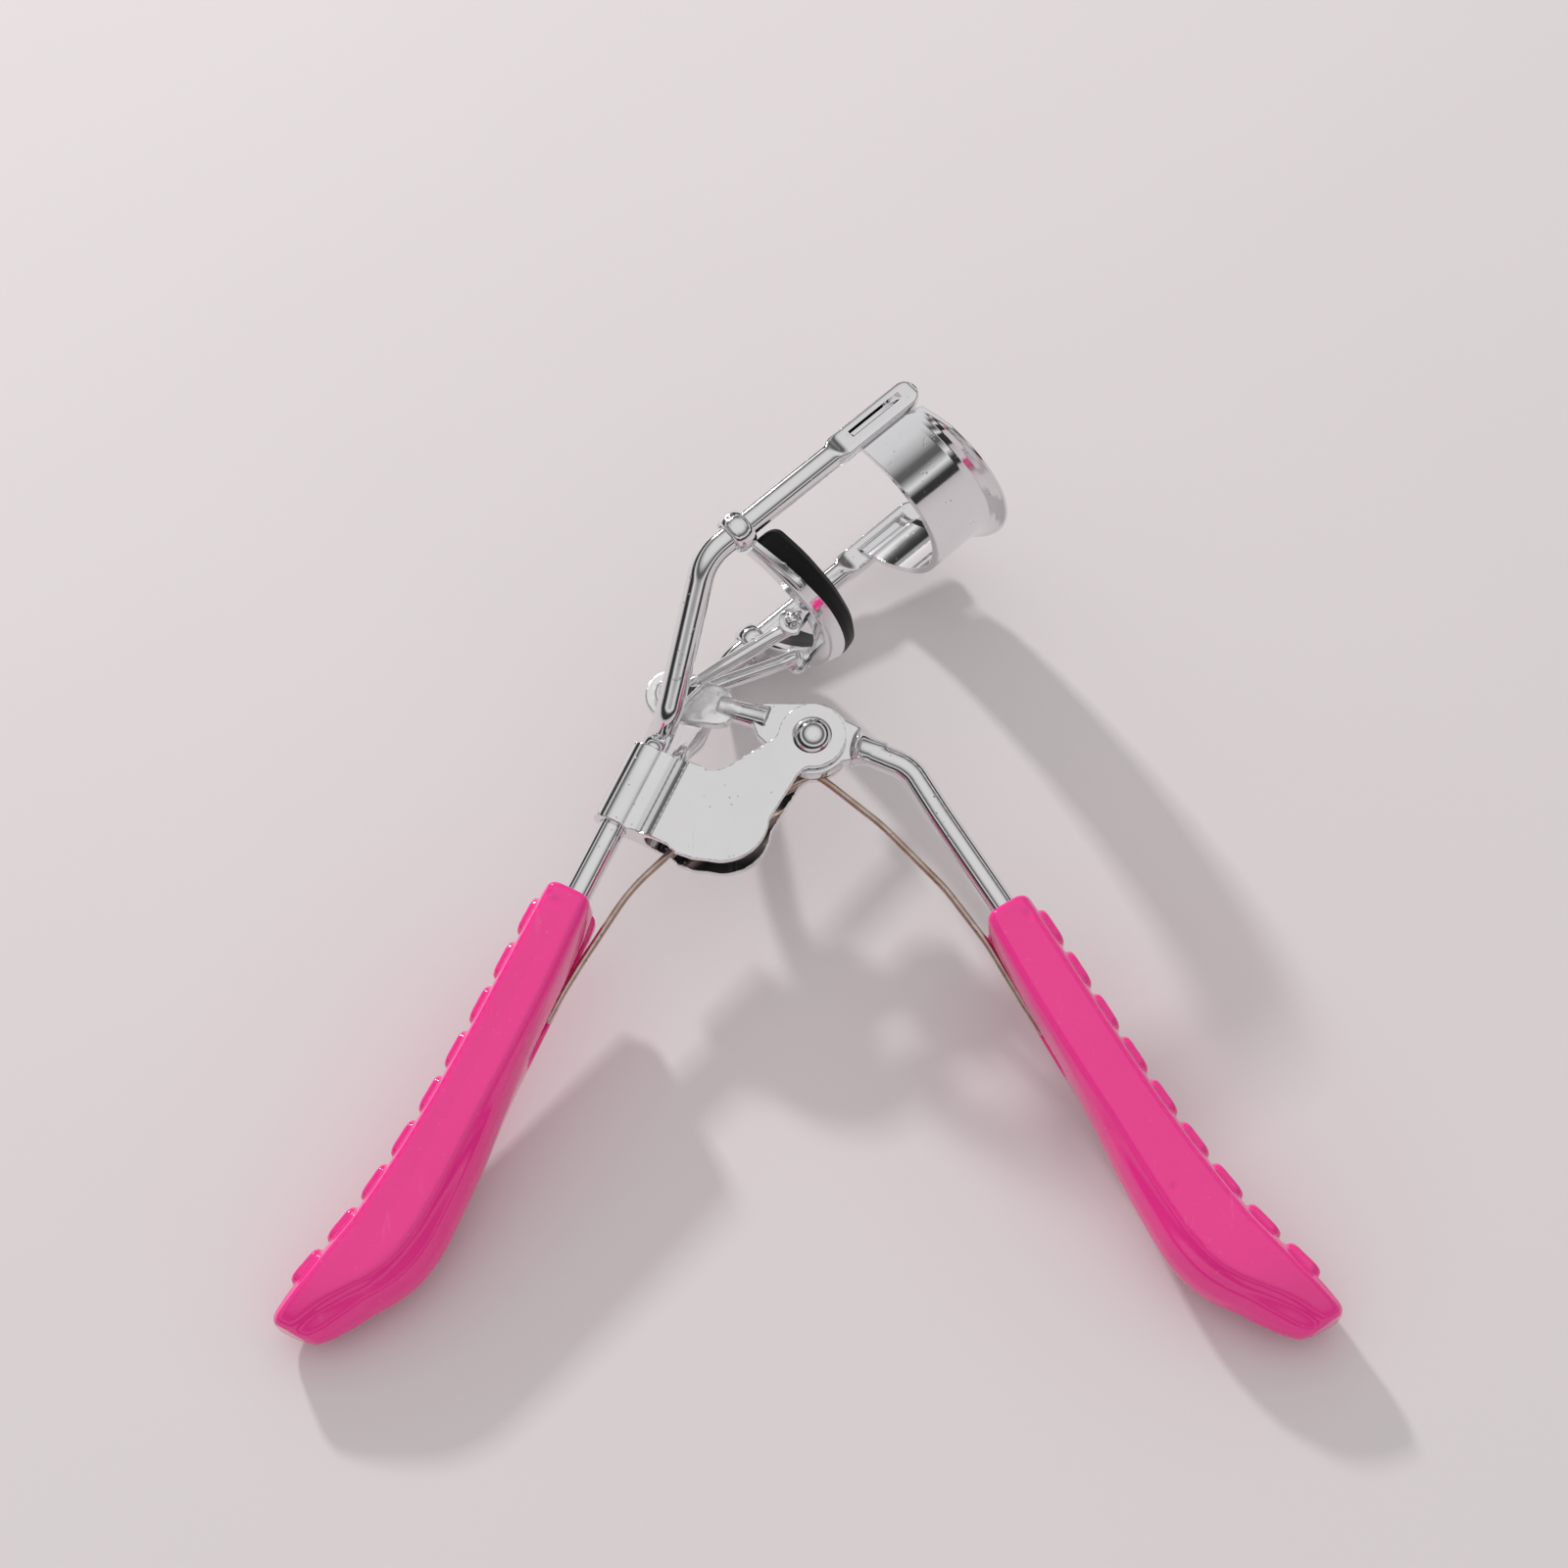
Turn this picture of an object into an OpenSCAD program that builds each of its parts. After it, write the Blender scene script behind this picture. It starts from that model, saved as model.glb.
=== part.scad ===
// Eyelash curler: squeeze handles, sliding lower jaw, fixed upper crescent.
// Millimetres, +Z up, resting on the table, head toward +Y. The handles stand open.

/* [Node] */
// which sub-part to draw

/* [Head] */
// distance from the middle plane to each rail's centre line
rail_half_gap = 14; // [12:0.5:16]
// diameter of the rails and the lever
rod_d = 2.8; // [2.4:0.1:3]
// angle of the rails above the cross axis
rail_angle = 41; // [36:1:46]
// radius of the crescent's bow, to its middle
bow_r = 13.3; // [13:0.1:13.5]
// thickness of the crescent sheet
crescent_t = 0.8; // [0.6:0.1:1.2]
// how far the flared lip stands out from the bow
flare = 1.3; // [0.8:0.1:2]

/* [Lower jaw] */
// radial width of the jaw channel
channel_w = 2.4; // [2.2:0.1:3]
// height of the channel's walls
channel_h = 1.7; // [1.5:0.1:2.2]
// how far the pad stands above the channel
pad_rise = 2.5; // [2:0.1:2.6]
// gap round each rail inside its guide loop
loop_gap = 0.08; // [0.03:0.01:0.1]

/* [Handles] */
// diameter of the frame rod where it fills the handle and the sleeve
left_rod_d = 2.9; // [2.6:0.1:3.2]
// half the depth of each handle
handle_half = 4.5; // [3.5:0.1:5]
// number of raised grip pads on each handle
grip_pads = 9; // [6:1:10]
// how far each grip pad stands proud
pad_proud = 0.5; // [0.3:0.1:1]

/* [Hinge] */
// thickness of the bracket's sheet
sheet = 0.8; // [0.6:0.1:1]
// clear gap between the two leaves
leaf_gap = 3.2; // [2.8:0.1:3.6]
// diameter of the main rivet
rivet_d = 2.6; // [2.2:0.1:3]
// diameter of the spring wire
wire_d = 0.75; // [0.6:0.05:1]

/* [Hidden] */
// tilt of the working plane and the place of its middle, so that it rests on the table
tilt = 9.11;
roll = -0.1;
origin = [0.98, 12.26, 13.26];
pivot = [0, 0.45];
left_turn = 27.5;
right_turn = 31.6;
left_at = [-22.3, -17.5];
right_at = [17.35, -20.1];
sleeve_turn = 25.5;
link_at = [-14.6, 5.7];
jaw_at = [-1.8, 12.1];
rail_off = -18.4;

pink = [0.91, 0.24, 0.53];
chrome = [0.8, 0.8, 0.82];
black = [0.07, 0.07, 0.08];
steel_wire = [0.72, 0.62, 0.55];

function dir(a) = [cos(a), sin(a)];
function unit(v) = v / norm(v);
function p3(p, z) = [p[0], p[1], z];
function arc(c, r, a0, a1, n) = [for (i = [0:n]) c + r * dir(a0 + (a1 - a0) * i / n)];

module placed() translate(origin) rotate([tilt, roll, 0]) children();

// a round bar from a to b
module bar(a, b, d, d2 = 0) {
  v = b - a;
  translate(a)
    rotate([0, acos(v[2] / norm(v)), atan2(v[1], v[0])])
      cylinder(h = norm(v), d1 = d, d2 = d2 == 0 ? d : d2, $fn = 48);
}

// points along p with each inner corner rounded to the radius r
function rounded(p, r, k) = [for (i = [0:len(p) - 1]) each (i == 0 || i == len(p) - 1) ? [p[i]] :
  let (u = unit(p[i] - p[i - 1]), w = unit(p[i + 1] - p[i]), h = acos(min(1, u * w)) / 2,
       g = r[i] * tan(h), x = -unit(cross(cross(u, w), u)) * r[i], c = p[i] - u * g - x, y = u * r[i])
    [for (j = [0:k]) c + x * cos(2 * h * j / k) + y * sin(2 * h * j / k)]];

// a frame carried along the path without twist
function carried(p) = [for (i = 0, t = unit(p[1] - p[0]), x = unit(cross(t, [0.1, 0.2, 1])); i < len(p);
  t = i + 2 < len(p) ? unit(unit(p[i + 1] - p[i]) + unit(p[i + 2] - p[i + 1])) : unit(p[len(p) - 1] - p[len(p) - 2]),
  x = unit(x - t * (x * t)), i = i + 1) [x, cross(t, x)]];

// joins rings of points into one closed skin
module loft(rings) {
  m = len(rings[0]);
  n = len(rings);
  polyhedron(
    points = [for (r = rings) each r],
    faces = concat([[for (j = [m - 1:-1:0]) j]],
      [for (i = [0:n - 2]) for (j = [0:m - 1]) each let (q = (j + 1) % m)
        [[i * m + j, i * m + q, (i + 1) * m + q], [i * m + j, (i + 1) * m + q, (i + 1) * m + j]]],
      [[for (j = [0:m - 1]) (n - 1) * m + j]]));
}

// a round wire of the diameter d, or of diameters looked up along it, through the points p
module wire_along(p, d, m = 20) {
  f = carried(p);
  loft([for (i = [0:len(p) - 1]) let (r = (is_list(d) ? lookup(i / (len(p) - 1), d) : d) / 2)
    [for (j = [0:m - 1]) p[i] + f[i][0] * r * cos(360 * j / m) - f[i][1] * r * sin(360 * j / m)]]);
}

// a domed rivet head standing on z = 0
module dome(d, h) {
  r = (d * d / 4 + h * h) / (2 * h);
  intersection() {
    translate([0, 0, h - r]) sphere(r = r, $fn = 64);
    cylinder(h = h + 1, d = d + 1, $fn = 48);
  }
}

// frames of the sub-assemblies, all inside the working plane
module sleeve_frame() rotate([0, 0, -sleeve_turn]) rotate([-90, 0, 0]) children();
module left_frame() translate([left_at[0], left_at[1], 0]) rotate([0, 0, -90 - left_turn]) mirror([0, 1, 0]) children();
module right_frame() translate([right_at[0], right_at[1], 0]) rotate([0, 0, -90 + right_turn]) children();
rail_dir = dir(rail_angle);
rail_foot = rail_off * dir(rail_angle - 90);
function on_rail(s) = rail_foot + s * rail_dir;
function sleeve_pt(p, s) = p * dir(-sleeve_turn) + s * dir(90 - sleeve_turn);
function left_pt(u, v) = left_at + u * dir(-90 - left_turn) + v * dir(180 - left_turn);
function right_pt(u, v) = right_at + u * dir(-90 + right_turn) + v * dir(right_turn);
module rail_frame(s) translate([rail_foot[0], rail_foot[1], s * rail_half_gap]) rotate([0, 0, rail_angle]) children();

// ---- handles: local x runs down the handle, local y outward, local z toward the near side
// station, inner edge, outer edge, inner belly, outer dome, half depth
stations = [
  [0, 0.55, 4.2, 0, 0.3, 0.9], [0.25, 0.2, 4.5, 0.05, 0.48, 0.96], [0.7, 0, 4.65, 0.1, 0.57, 1],
  [4, -0.3, 4.6, 0.3, 0.6, 1], [9, -0.7, 4.5, 0.4, 0.6, 1], [14, -0.95, 4.35, 0.5, 0.6, 1],
  [19, -1.1, 4.25, 0.7, 0.6, 1], [24, -1.2, 4.2, 1.2, 0.6, 1], [29, -1.4, 4.3, 1.7, 0.6, 1],
  [33, -1.5, 4.5, 2.0, 0.66, 1], [36.5, -1.5, 4.75, 2.25, 0.7, 1], [39.5, -1.2, 5.05, 2.5, 0.8, 1],
  [42, -0.6, 5.5, 2.6, 0.85, 0.99], [44.3, 0.5, 5.95, 2.7, 0.9, 0.96], [46.5, 2.2, 6.4, 2.9, 0.9, 0.88],
  [48.4, 3.8, 6.9, 3.2, 0.8, 0.76], [50, 5.0, 7.2, 3.0, 0.7, 0.62], [51.2, 5.9, 7.4, 2.4, 0.6, 0.48],
  [52, 6.5, 7.45, 1.5, 0.4, 0.32]];

function ring(s) = let (a = s[1], b = s[2], ib = s[3], od = s[4], h = handle_half * s[5], k = min(0.6, (b - a) / 4))
  [for (q = [[a + k, h], [b - k, h], [b - k * 0.3, h - k * 0.3], [b + od * 0.12, h - k],
   [b + od * 0.55, h * 0.66], [b + od * 0.88, h * 0.33], [b + od, 0],
   [b + od * 0.88, -h * 0.33], [b + od * 0.55, -h * 0.66], [b + od * 0.12, k - h],
   [b - k * 0.3, k * 0.3 - h], [b - k, -h], [a + k, -h],
   [a + k * 0.3, k * 0.3 - h], [a - ib * 0.12, k - h], [a - ib * 0.55, -h * 0.66],
   [a - ib * 0.88, -h * 0.33], [a - ib, 0], [a - ib * 0.88, h * 0.33],
   [a - ib * 0.55, h * 0.66], [a - ib * 0.12, h - k], [a + k * 0.3, h - k * 0.3]]) [s[0], q[0], q[1]]];

// outer edge of the handle at a station
function outer(u) = lookup(u, [for (s = stations) [s[0], s[2] + s[4]]]);

// one raised grip pad
module grip(u, l) {
  a = atan2(outer(u + l) - outer(u), l);
  translate([u, outer(u) - 1.2, 0]) rotate([0, 0, a])
    difference() {
      translate([0, 0, -2.9]) cube([l, 1.2 + pad_proud, 5.8]);
      for (s = [-1, 1])
        translate([-1, 1.2 + pad_proud, s * 2.9]) rotate([45, 0, 0])
          translate([0, -0.45, -0.45]) cube([l + 2, 0.9, 0.9]);
      for (x = [0, l])
        translate([x, 1.2 + pad_proud, -4]) rotate([0, 0, 45])
          translate([-0.3, -0.3, 0]) cube([0.6, 0.6, 8]);
    }
}

module handle(bore_v, bore_a, bore_d, bore_l) {
  pitch = 46.8 / grip_pads;
  difference() {
    union() {
      loft([for (s = stations) ring(s)]);
      for (i = [0:grip_pads - 1]) grip(1.9 + i * pitch, pitch - 0.9);
    }
    translate([0, bore_v, 0]) rotate([0, 0, bore_a]) rotate([0, 90, 0])
      translate([0, 0, -2]) cylinder(h = bore_l + 2, d = bore_d + 0.04, $fn = 48);
    // groove for the spring leg, with a scoop at its mouth
    translate([0, 0, -1.9]) linear_extrude(height = 2)
      polygon([[-1, -3], [-1, 0.95], [6, 0.3], [12, -0.3], [17.5, -1.5], [20, -3]]);
    translate([-1, -0.2, -1.0]) rotate([0, 90, 0]) cylinder(h = 4.6, d = 2.6, $fn = 32);
  }
}

module left_handle() color(pink) placed() left_frame() handle(2.43, -2, left_rod_d, 27.4);
module right_handle() color(pink) placed() right_frame() handle(2.73, 0, rod_d, 27.4);

// ---- frame rods
// the straight rail, pressed flat at its end and slotted for the crescent's tab
module rail_end(s) rail_frame(s) difference() {
  union() {
    translate([4.4, 0, 0]) rotate([0, 90, 0]) cylinder(h = 15.4, d = rod_d, $fn = 64);
    translate([19.6, 0, 0]) rotate([0, 90, 0]) cylinder(h = 1.6, d1 = rod_d - 0.02, d2 = 1.7, $fn = 48);
    translate([0, 0, -0.8]) linear_extrude(height = 1.6)
      polygon(concat([[19, -1], [20.8, -1.5]], arc([29.4, 0], 1.5, -90, 90, 12), [[20.8, 1.5], [19, 1]]));
  }
  translate([22.2, -0.25, -2]) cube([6.8, 0.84, 4]);
}

// one rod: left handle, sleeve, near upright and near rail
module frame_rod() color(chrome) placed() {
  bar(p3(left_pt(27, 2.43 - 27 * tan(2)), 0), p3(sleeve_pt(-15, -8), 0), left_rod_d);
  wire_along(rounded([p3(sleeve_pt(-15, -8.8), 0), p3(sleeve_pt(-15, -5.9), 0), [-14.7, 2.75, 3.5],
      p3(on_rail(2.3), rail_half_gap), p3(on_rail(5.2), rail_half_gap)], [0, 2.6, 4, 5, 0], 10),
    [[0, left_rod_d - 0.03], [0.3, left_rod_d - 0.03], [0.6, rod_d - 0.03], [1, rod_d - 0.03]], 28);
  rail_end(1);
  // the pinched ear above the sleeve
  sleeve_frame() translate([-15.4, -1.95, -6.7]) cube([1.6, 1.95, 1.9]);
}

// the second rod: its thin end in the bracket's fold, far upright and far rail
module far_rail() color(chrome) placed() {
  bar(p3(sleeve_pt(-12.15, -15.8), 0), p3(sleeve_pt(-12.15, -7.9), 0), 1.8);
  wire_along(rounded([p3(sleeve_pt(-12.15, -8.6), 0), p3(sleeve_pt(-12.15, -6.6), 0), [-12.9, 3.0, -4.7],
      p3(on_rail(2.3), -rail_half_gap), p3(on_rail(5.2), -rail_half_gap)], [0, 2.6, 6, 5, 0], 10),
    [[0, 1.77], [0.2, 1.77], [0.6, rod_d - 0.03], [1, rod_d - 0.03]], 28);
  rail_end(-1);
}

// ---- hinge bracket: one sheet rolled round the frame rod, closed over the far rail's end, with two leaves
module bracket_section() {
  difference() {
    union() {
      translate([-15, 0]) circle(r = left_rod_d / 2 + 0.03 + sheet, $fn = 64);
      for (s = [-1, 1])
        polygon([[-14.2, s * 1.9], [-13.3, s * 1.75], [-12.5, s * 1.72], [-11.8, s * 1.82], [-11, s * 2.1],
                 [-10, s * (leaf_gap / 2 + sheet)], [-8.6, s * (leaf_gap / 2 + sheet)], [-8.6, s * leaf_gap / 2],
                 [-9.9, s * leaf_gap / 2], [-10.9, s * 1.25], [-11.4, s * 0.6], [-11.4, 0], [-14.2, 0]]);
    }
    translate([-15, 0]) circle(d = left_rod_d + 0.04, $fn = 64);
    translate([-12.15, 0]) circle(d = 1.84, $fn = 48);
  }
}

function leaf_outline() = concat(
  [[-12.3, -12.8], [-14.1, -12.1], [-14.8, -11.3], sleeve_pt(-9, -16.3), sleeve_pt(-9, -9.2)],
  arc([-10.3, 0.25], 3.5, -112, -56, 8),
  [[-4.6, -0.25], [-3.8, 0.3]],
  arc(pivot, 3.5, 174, -98, 40),
  [[-0.95, -3.3], [-1.5, -3.8]],
  arc([-9.3, -8.3], 4.9, -4, -105, 16));

module hinge_bracket() color(chrome) placed() {
  sleeve_frame() translate([0, 0, -16.5]) linear_extrude(height = 9.1) mirror([0, 1]) bracket_section();
  for (z = [leaf_gap / 2, -leaf_gap / 2 - sheet])
    translate([0, 0, z]) difference() {
      linear_extrude(height = sheet) polygon(leaf_outline());
      translate([pivot[0], pivot[1], -1]) cylinder(h = 4, d = rivet_d + 0.02, $fn = 48);
    }
}

module main_rivet() color(chrome) placed() translate([pivot[0], pivot[1], 0]) {
  reach = leaf_gap / 2 + sheet;
  translate([0, 0, -reach]) cylinder(h = 2 * reach, d = rivet_d, $fn = 48);
  translate([0, 0, reach]) dome(4.1, 1.3);
  translate([0, 0, -reach]) mirror([0, 0, 1]) dome(4.1, 0.8);
}

// ---- lever: one forged rod with a flat eye, a neck and a paddle
module lever() color(chrome) placed() difference() {
  union() {
    bar(p3(right_pt(-13.5, 2.73), 0), p3(right_pt(27, 2.73), 0), rod_d);
    wire_along(rounded([[5.4, -0.5, 0.1], p3(right_pt(-18.8, 2.9), 0), p3(right_pt(-12.6, 2.73), 0)],
        [0, 4.6, 0], 12), rod_d - 0.03, 28);
    // flared collar
    bar([4.0, -0.1, 0.2], [6.6, -0.8, 0], 4.3, rod_d);
    translate([0, 0, -0.05]) linear_extrude(height = 1.5) {
      translate(pivot) circle(r = 4, $fn = 64);
      polygon([[0, 4.4], [-2.8, 4.5], [-5.0, 4.6], [-5.9, 4.1], [-6.2, 2.3], [-5.7, 0.9], [-3.9, -0.9], [0, -2.5],
        [5, -1.9], [5, 1.6]]);
    }
    bar([-5.2, 3.1, 0.7], [-8.9, 4.45, 0.3], 2.0);
    translate([0, 0, -0.5]) linear_extrude(height = 1.5)
      polygon(concat([[-9.4, 6.75], [-8.5, 6.15], [-8.1, 5.4], [-8.3, 3.2], [-8.9, 2.55], [-9.9, 2.35]],
        arc([-14.7, 5.95], 2.8, 259, 76, 24)));
  }
  translate([pivot[0], pivot[1], -3]) cylinder(h = 6, d = rivet_d + 0.1, $fn = 48);
  // the link pin's hole is drawn as a slot: the pivot where the closed linkage is opened
  translate([link_at[0], link_at[1], -3]) rotate([0, 0, -23.8]) translate([0, 0.17, 0]) {
    for (x = [-1.05, 0.75]) translate([x, 0, 0]) cylinder(h = 6, d = 2.2, $fn = 40);
    translate([-1.05, -1.1, 0]) cube([1.8, 2.2, 6]);
  }
}

// ---- spring: a loop round the rivet and one leg to each handle
coil_r = 2.6;
low_z = -1.2;
high_z = -0.45;
module spring_coil() color(steel_wire) placed() {
  loop = [for (i = [0:36]) p3(pivot + coil_r * dir(-62 + 290 * i / 36), low_z + (high_z - low_z) * i / 36)];
  leg = rounded([p3(left_pt(12.5, -1.05), low_z), p3(left_pt(9, -1.0), low_z), [-23.7, -22.7, low_z], [-18.9, -14.9, low_z],
    [-12.8, -9.0, low_z], p3(pivot + coil_r * dir(-62) - 7 * dir(28), low_z), p3(pivot + coil_r * dir(-62) - 0.5 * dir(28), low_z)],
    [0, 20, 20, 20, 20, 20, 0], 3);
  wire_along(concat(leg, loop), wire_d, 12);
}
module spring_lever_leg() color(steel_wire) placed()
  wire_along(rounded([p3(pivot + coil_r * dir(-132), high_z), [1.55, -3.85, high_z], [7.0, -8.55, high_z], [13.45, -15.65, high_z],
      p3(right_pt(1.5, -0.6), high_z), p3(right_pt(9, -1.0), high_z), p3(right_pt(12.5, -1.05), high_z)],
    [0, 20, 20, 20, 20, 20, 0], 3), wire_d, 12);

// ---- push rods: an eye on the link pin and a hooked, peened end in the jaw's lug
module push_rod(s) {
  zi = s > 0 ? 1.5 : -1.0;
  zo = s * 3.75;
  along = unit(jaw_at - link_at);
  difference() {
    union() {
      translate([link_at[0], link_at[1], zi - 0.45]) {
        cylinder(h = 0.9, d = 3.6, $fn = 40);
        linear_extrude(height = 0.9)
          polygon([1.8 * dir(116), 3 * along + 0.8 * dir(116), 3 * along - 0.8 * dir(116), -1.8 * dir(116)]);
      }
      wire_along(rounded([p3(link_at + 1.5 * along, zi), p3(link_at + 3.4 * along, zi + s * 0.2), p3(jaw_at - 1.8 * along, zo),
        p3(jaw_at + 0.5 * along, zo)], [0, 6, 4, 0], 5), [[0, 0.8], [0.1, 1.2], [0.35, 1.6], [0.9, 1.6], [1, 1.3]], 20);
    }
    translate([link_at[0], link_at[1], -4]) cylinder(h = 8, d = 1.72, $fn = 32);
  }
  translate([jaw_at[0], jaw_at[1], s > 0 ? zo : -5.4]) cylinder(h = 5.4 - 3.75, d = 1.3, $fn = 32);
  translate([jaw_at[0], jaw_at[1], s * 5.4]) mirror([0, 0, s > 0 ? 0 : 1]) dome(1.9, 0.7);
}
module near_push_rod() color(chrome) placed() push_rod(1);
module far_push_rod() color(chrome) placed() push_rod(-1);

module link_rivet() color(chrome) placed() translate([link_at[0], link_at[1], 0]) {
  translate([0, 0, -1.45]) cylinder(h = 3.4, d = 1.7, $fn = 32);
  translate([0, 0, 1.95]) dome(2.7, 0.6);
  translate([0, 0, -1.45]) mirror([0, 0, 1]) dome(2.7, 0.6);
}

// ---- crescent and jaw: arcs in planes leaning toward the rails
// lays a bow's plane: local x is the bow's depth, local y runs across, local z along the rails
module bow_frame(s, lean) {
  f = on_rail(s);
  b = dir(rail_angle - 90 + lean);
  multmatrix([[b[0], 0, rail_dir[0], f[0]], [b[1], 0, rail_dir[1], f[1]], [0, -1, 0, 0], [0, 0, 0, 1]]) children();
}

// point and outward normal of a bow of the shape b = [depth, half span, set-out, squareness]
function bow_pt(b, a) = [b[2] + b[0] * pow(max(0, cos(a)), 2 / b[3]), sign(a) * b[1] * pow(abs(sin(a)), 2 / b[3])];
function bow_out(b, a) = let (t = unit(bow_pt(b, a + 0.5) - bow_pt(b, a - 0.5))) [t[1], -t[0]];

// carries the profile q, of [outward, along the rails] points, round the bow; "grow" moves it up toward the middle,
// and "fade" draws in what stands further out than the distance "core"
function bow_rings(q, b, half, n, grow = [[0, 0]], core = 9, fade = [[0, 1]]) =
  [for (i = [0:n]) let (a = half * (2 * i / n - 1), p = bow_pt(b, a), o = bow_out(b, a), k = lookup(abs(a) / half, fade))
    [for (v = q) let (c = p + (v[0] > core ? core + (v[0] - core) * k : v[0]) * o)
      [c[0], c[1], v[1] + lookup(v[1], grow) * cos(a)]]];
module round_bow(q, b, half, n, grow = [[0, 0]], core = 9, fade = [[0, 1]]) {
  loft(bow_rings(q, b, half, n, grow, core, fade));
}

module upper_crescent() color(chrome) placed() {
  t = crescent_t / 2;
  f = flare;
  q = concat([[-t, 0], [t, 0], [t, 5.1], [t + 0.12 * f, 5.8], [t + 0.4 * f, 6.4], [t + 0.72 * f, 6.8], [t + f, 7.0],
    [t + f + 0.05, 7.2], [t + f, 7.4], [t + 0.6 * f, 7.35], [0.3 * f, 7.05], [-t + 0.15 * f, 6.3], [-t, 5.4]]);
  bow = bow_rings(q, [bow_r, bow_r, 10.5 - bow_r, 2], 71, 42, [[0, 0], [5.1, 1.4], [7.2, 1.2]], t, [[0, 1], [0.8, 1], [1, 0.1]]);
  // the sheet's ends are cut down to tabs, run in along the rails and turned out through the rail slots
  e = [[-t, 0.05], [t, 0.05], [t, 4.9], [0.99 * t, 5.6], [0.95 * t, 6.0], [0.87 * t, 6.25], [0.72 * t, 6.4], [0.5 * t, 6.48],
    [0.2 * t, 6.52], [-0.2 * t, 6.5], [-0.6 * t, 6.4], [-0.9 * t, 6.1], [-t, 5.2]];
  path = [[[-0.173, 14.9], [1, 0]], [[-0.173, 12.75], [1, 1]], [[1.05, 12.75], [0.165, 0.986]]];
  tab = function (k, s) [for (v = e) [path[k][0][0] + v[0] * path[k][1][0], s * (path[k][0][1] + v[0] * path[k][1][1]), v[1]]];
  bow_frame(22.3, 10.3) loft(concat([for (k = [0:2]) tab(k, -1)], bow, [for (k = [2:-1:0]) tab(k, 1)]));
}

jaw_bow = [14.2, 13.2, -3.8, 2];
jaw_lean = 13;
jaw_foot = 5.98;
module jaw_channel() color(chrome) placed() {
  w = channel_w / 2;
  h = channel_h;
  k = 0.2 * h;
  bow_frame(jaw_foot, jaw_lean) round_bow([[-w, 0.4], [-w + 0.12, 0.1], [-w + 0.4, 0], [w - 0.4, 0], [w - 0.12, 0.1], [w, 0.4], [w + k, h],
    [w + k - 0.5, h], [w - 0.4, 0.55], [0.6 - w, 0.55], [0.5 - w + k, h], [k - w, h]], jaw_bow, 66.5, 38);
  // lugs for the push rods
  for (s = [-1, 1]) difference() {
    translate([0, 0, s > 0 ? 4.7 : -5.3]) linear_extrude(height = 0.6)
      polygon(concat(arc(jaw_at, 1.5, 115, 290, 14),
        [on_rail(jaw_foot + 0.2) + 8.8 * dir(rail_angle - 90 + jaw_lean), on_rail(jaw_foot + 1.3) + 8.65 * dir(rail_angle - 90 + jaw_lean)]));
    translate([jaw_at[0], jaw_at[1], -7]) cylinder(h = 14, d = 1.4, $fn = 32);
  }
}

// a strap bent round a rail, with its tail laid along the channel's outer wall
module guide_loop(s) difference() {
  union() {
    rail_frame(s) translate([5.3, 0, 0]) rotate([0, 90, 0]) cylinder(h = 2.6, d = rod_d + 2 * loop_gap + 1.4, $fn = 48);
    bow_frame(jaw_foot, jaw_lean) loft([for (i = [0:14]) let (a = s > 0 ? -68.3 + 26.3 * i / 14 : 42 + 26.3 * i / 14,
        p = bow_pt(jaw_bow, a), o = bow_out(jaw_bow, a))
      [for (v = [[0.03, 0.3], [0.4, 0.3], [0.45, 0.45], [0.45, 1.3], [0.4, 1.45], [0.03, 1.45]])
        let (c = p + (channel_w / 2 + v[0] + 0.2 * v[1]) * o) [c[0], c[1], v[1]]]]);
  }
  rail_frame(s) translate([4.3, 0, 0]) rotate([0, 90, 0]) cylinder(h = 5, d = rod_d + 2 * loop_gap, $fn = 48);
}
module near_guide_loop() color(chrome) placed() guide_loop(1);
module far_guide_loop() color(chrome) placed() guide_loop(-1);

module jaw_pad() color(black) placed() bow_frame(jaw_foot + 0.57, jaw_lean) {
  w = channel_w / 2 - 0.52;
  h = channel_h - 0.55;
  k = pad_rise;
  c = 0.2 * h;
  round_bow([[0.12 - w, 0], [w, 0], [w + c, h], [w + c + 0.35, h + 0.02], [w + c + 0.5, h + 0.3 * k], [w + c + 0.3, h + 0.7 * k],
    [w + c - 0.25, h + 0.95 * k], [c, h + k], [c + 0.25 - w, h + 0.95 * k], [c - w - 0.2, h + 0.7 * k],
    [c - w - 0.4, h + 0.3 * k], [c - w - 0.3, h + 0.02], [c - w + 0.14, h]],
    jaw_bow, 65.7, 38, [[0, 0], [h, 0], [h + k, -0.3]]);
}

left_handle();
right_handle();
frame_rod();
far_rail();
lever();
hinge_bracket();
main_rivet();
upper_crescent();
spring_coil();
spring_lever_leg();
near_push_rod();
far_push_rod();
link_rivet();
jaw_channel();
near_guide_loop();
far_guide_loop();
jaw_pad();
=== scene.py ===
import math
import bpy
import bmesh
import numpy as np
from mathutils import Matrix, Vector

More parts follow.
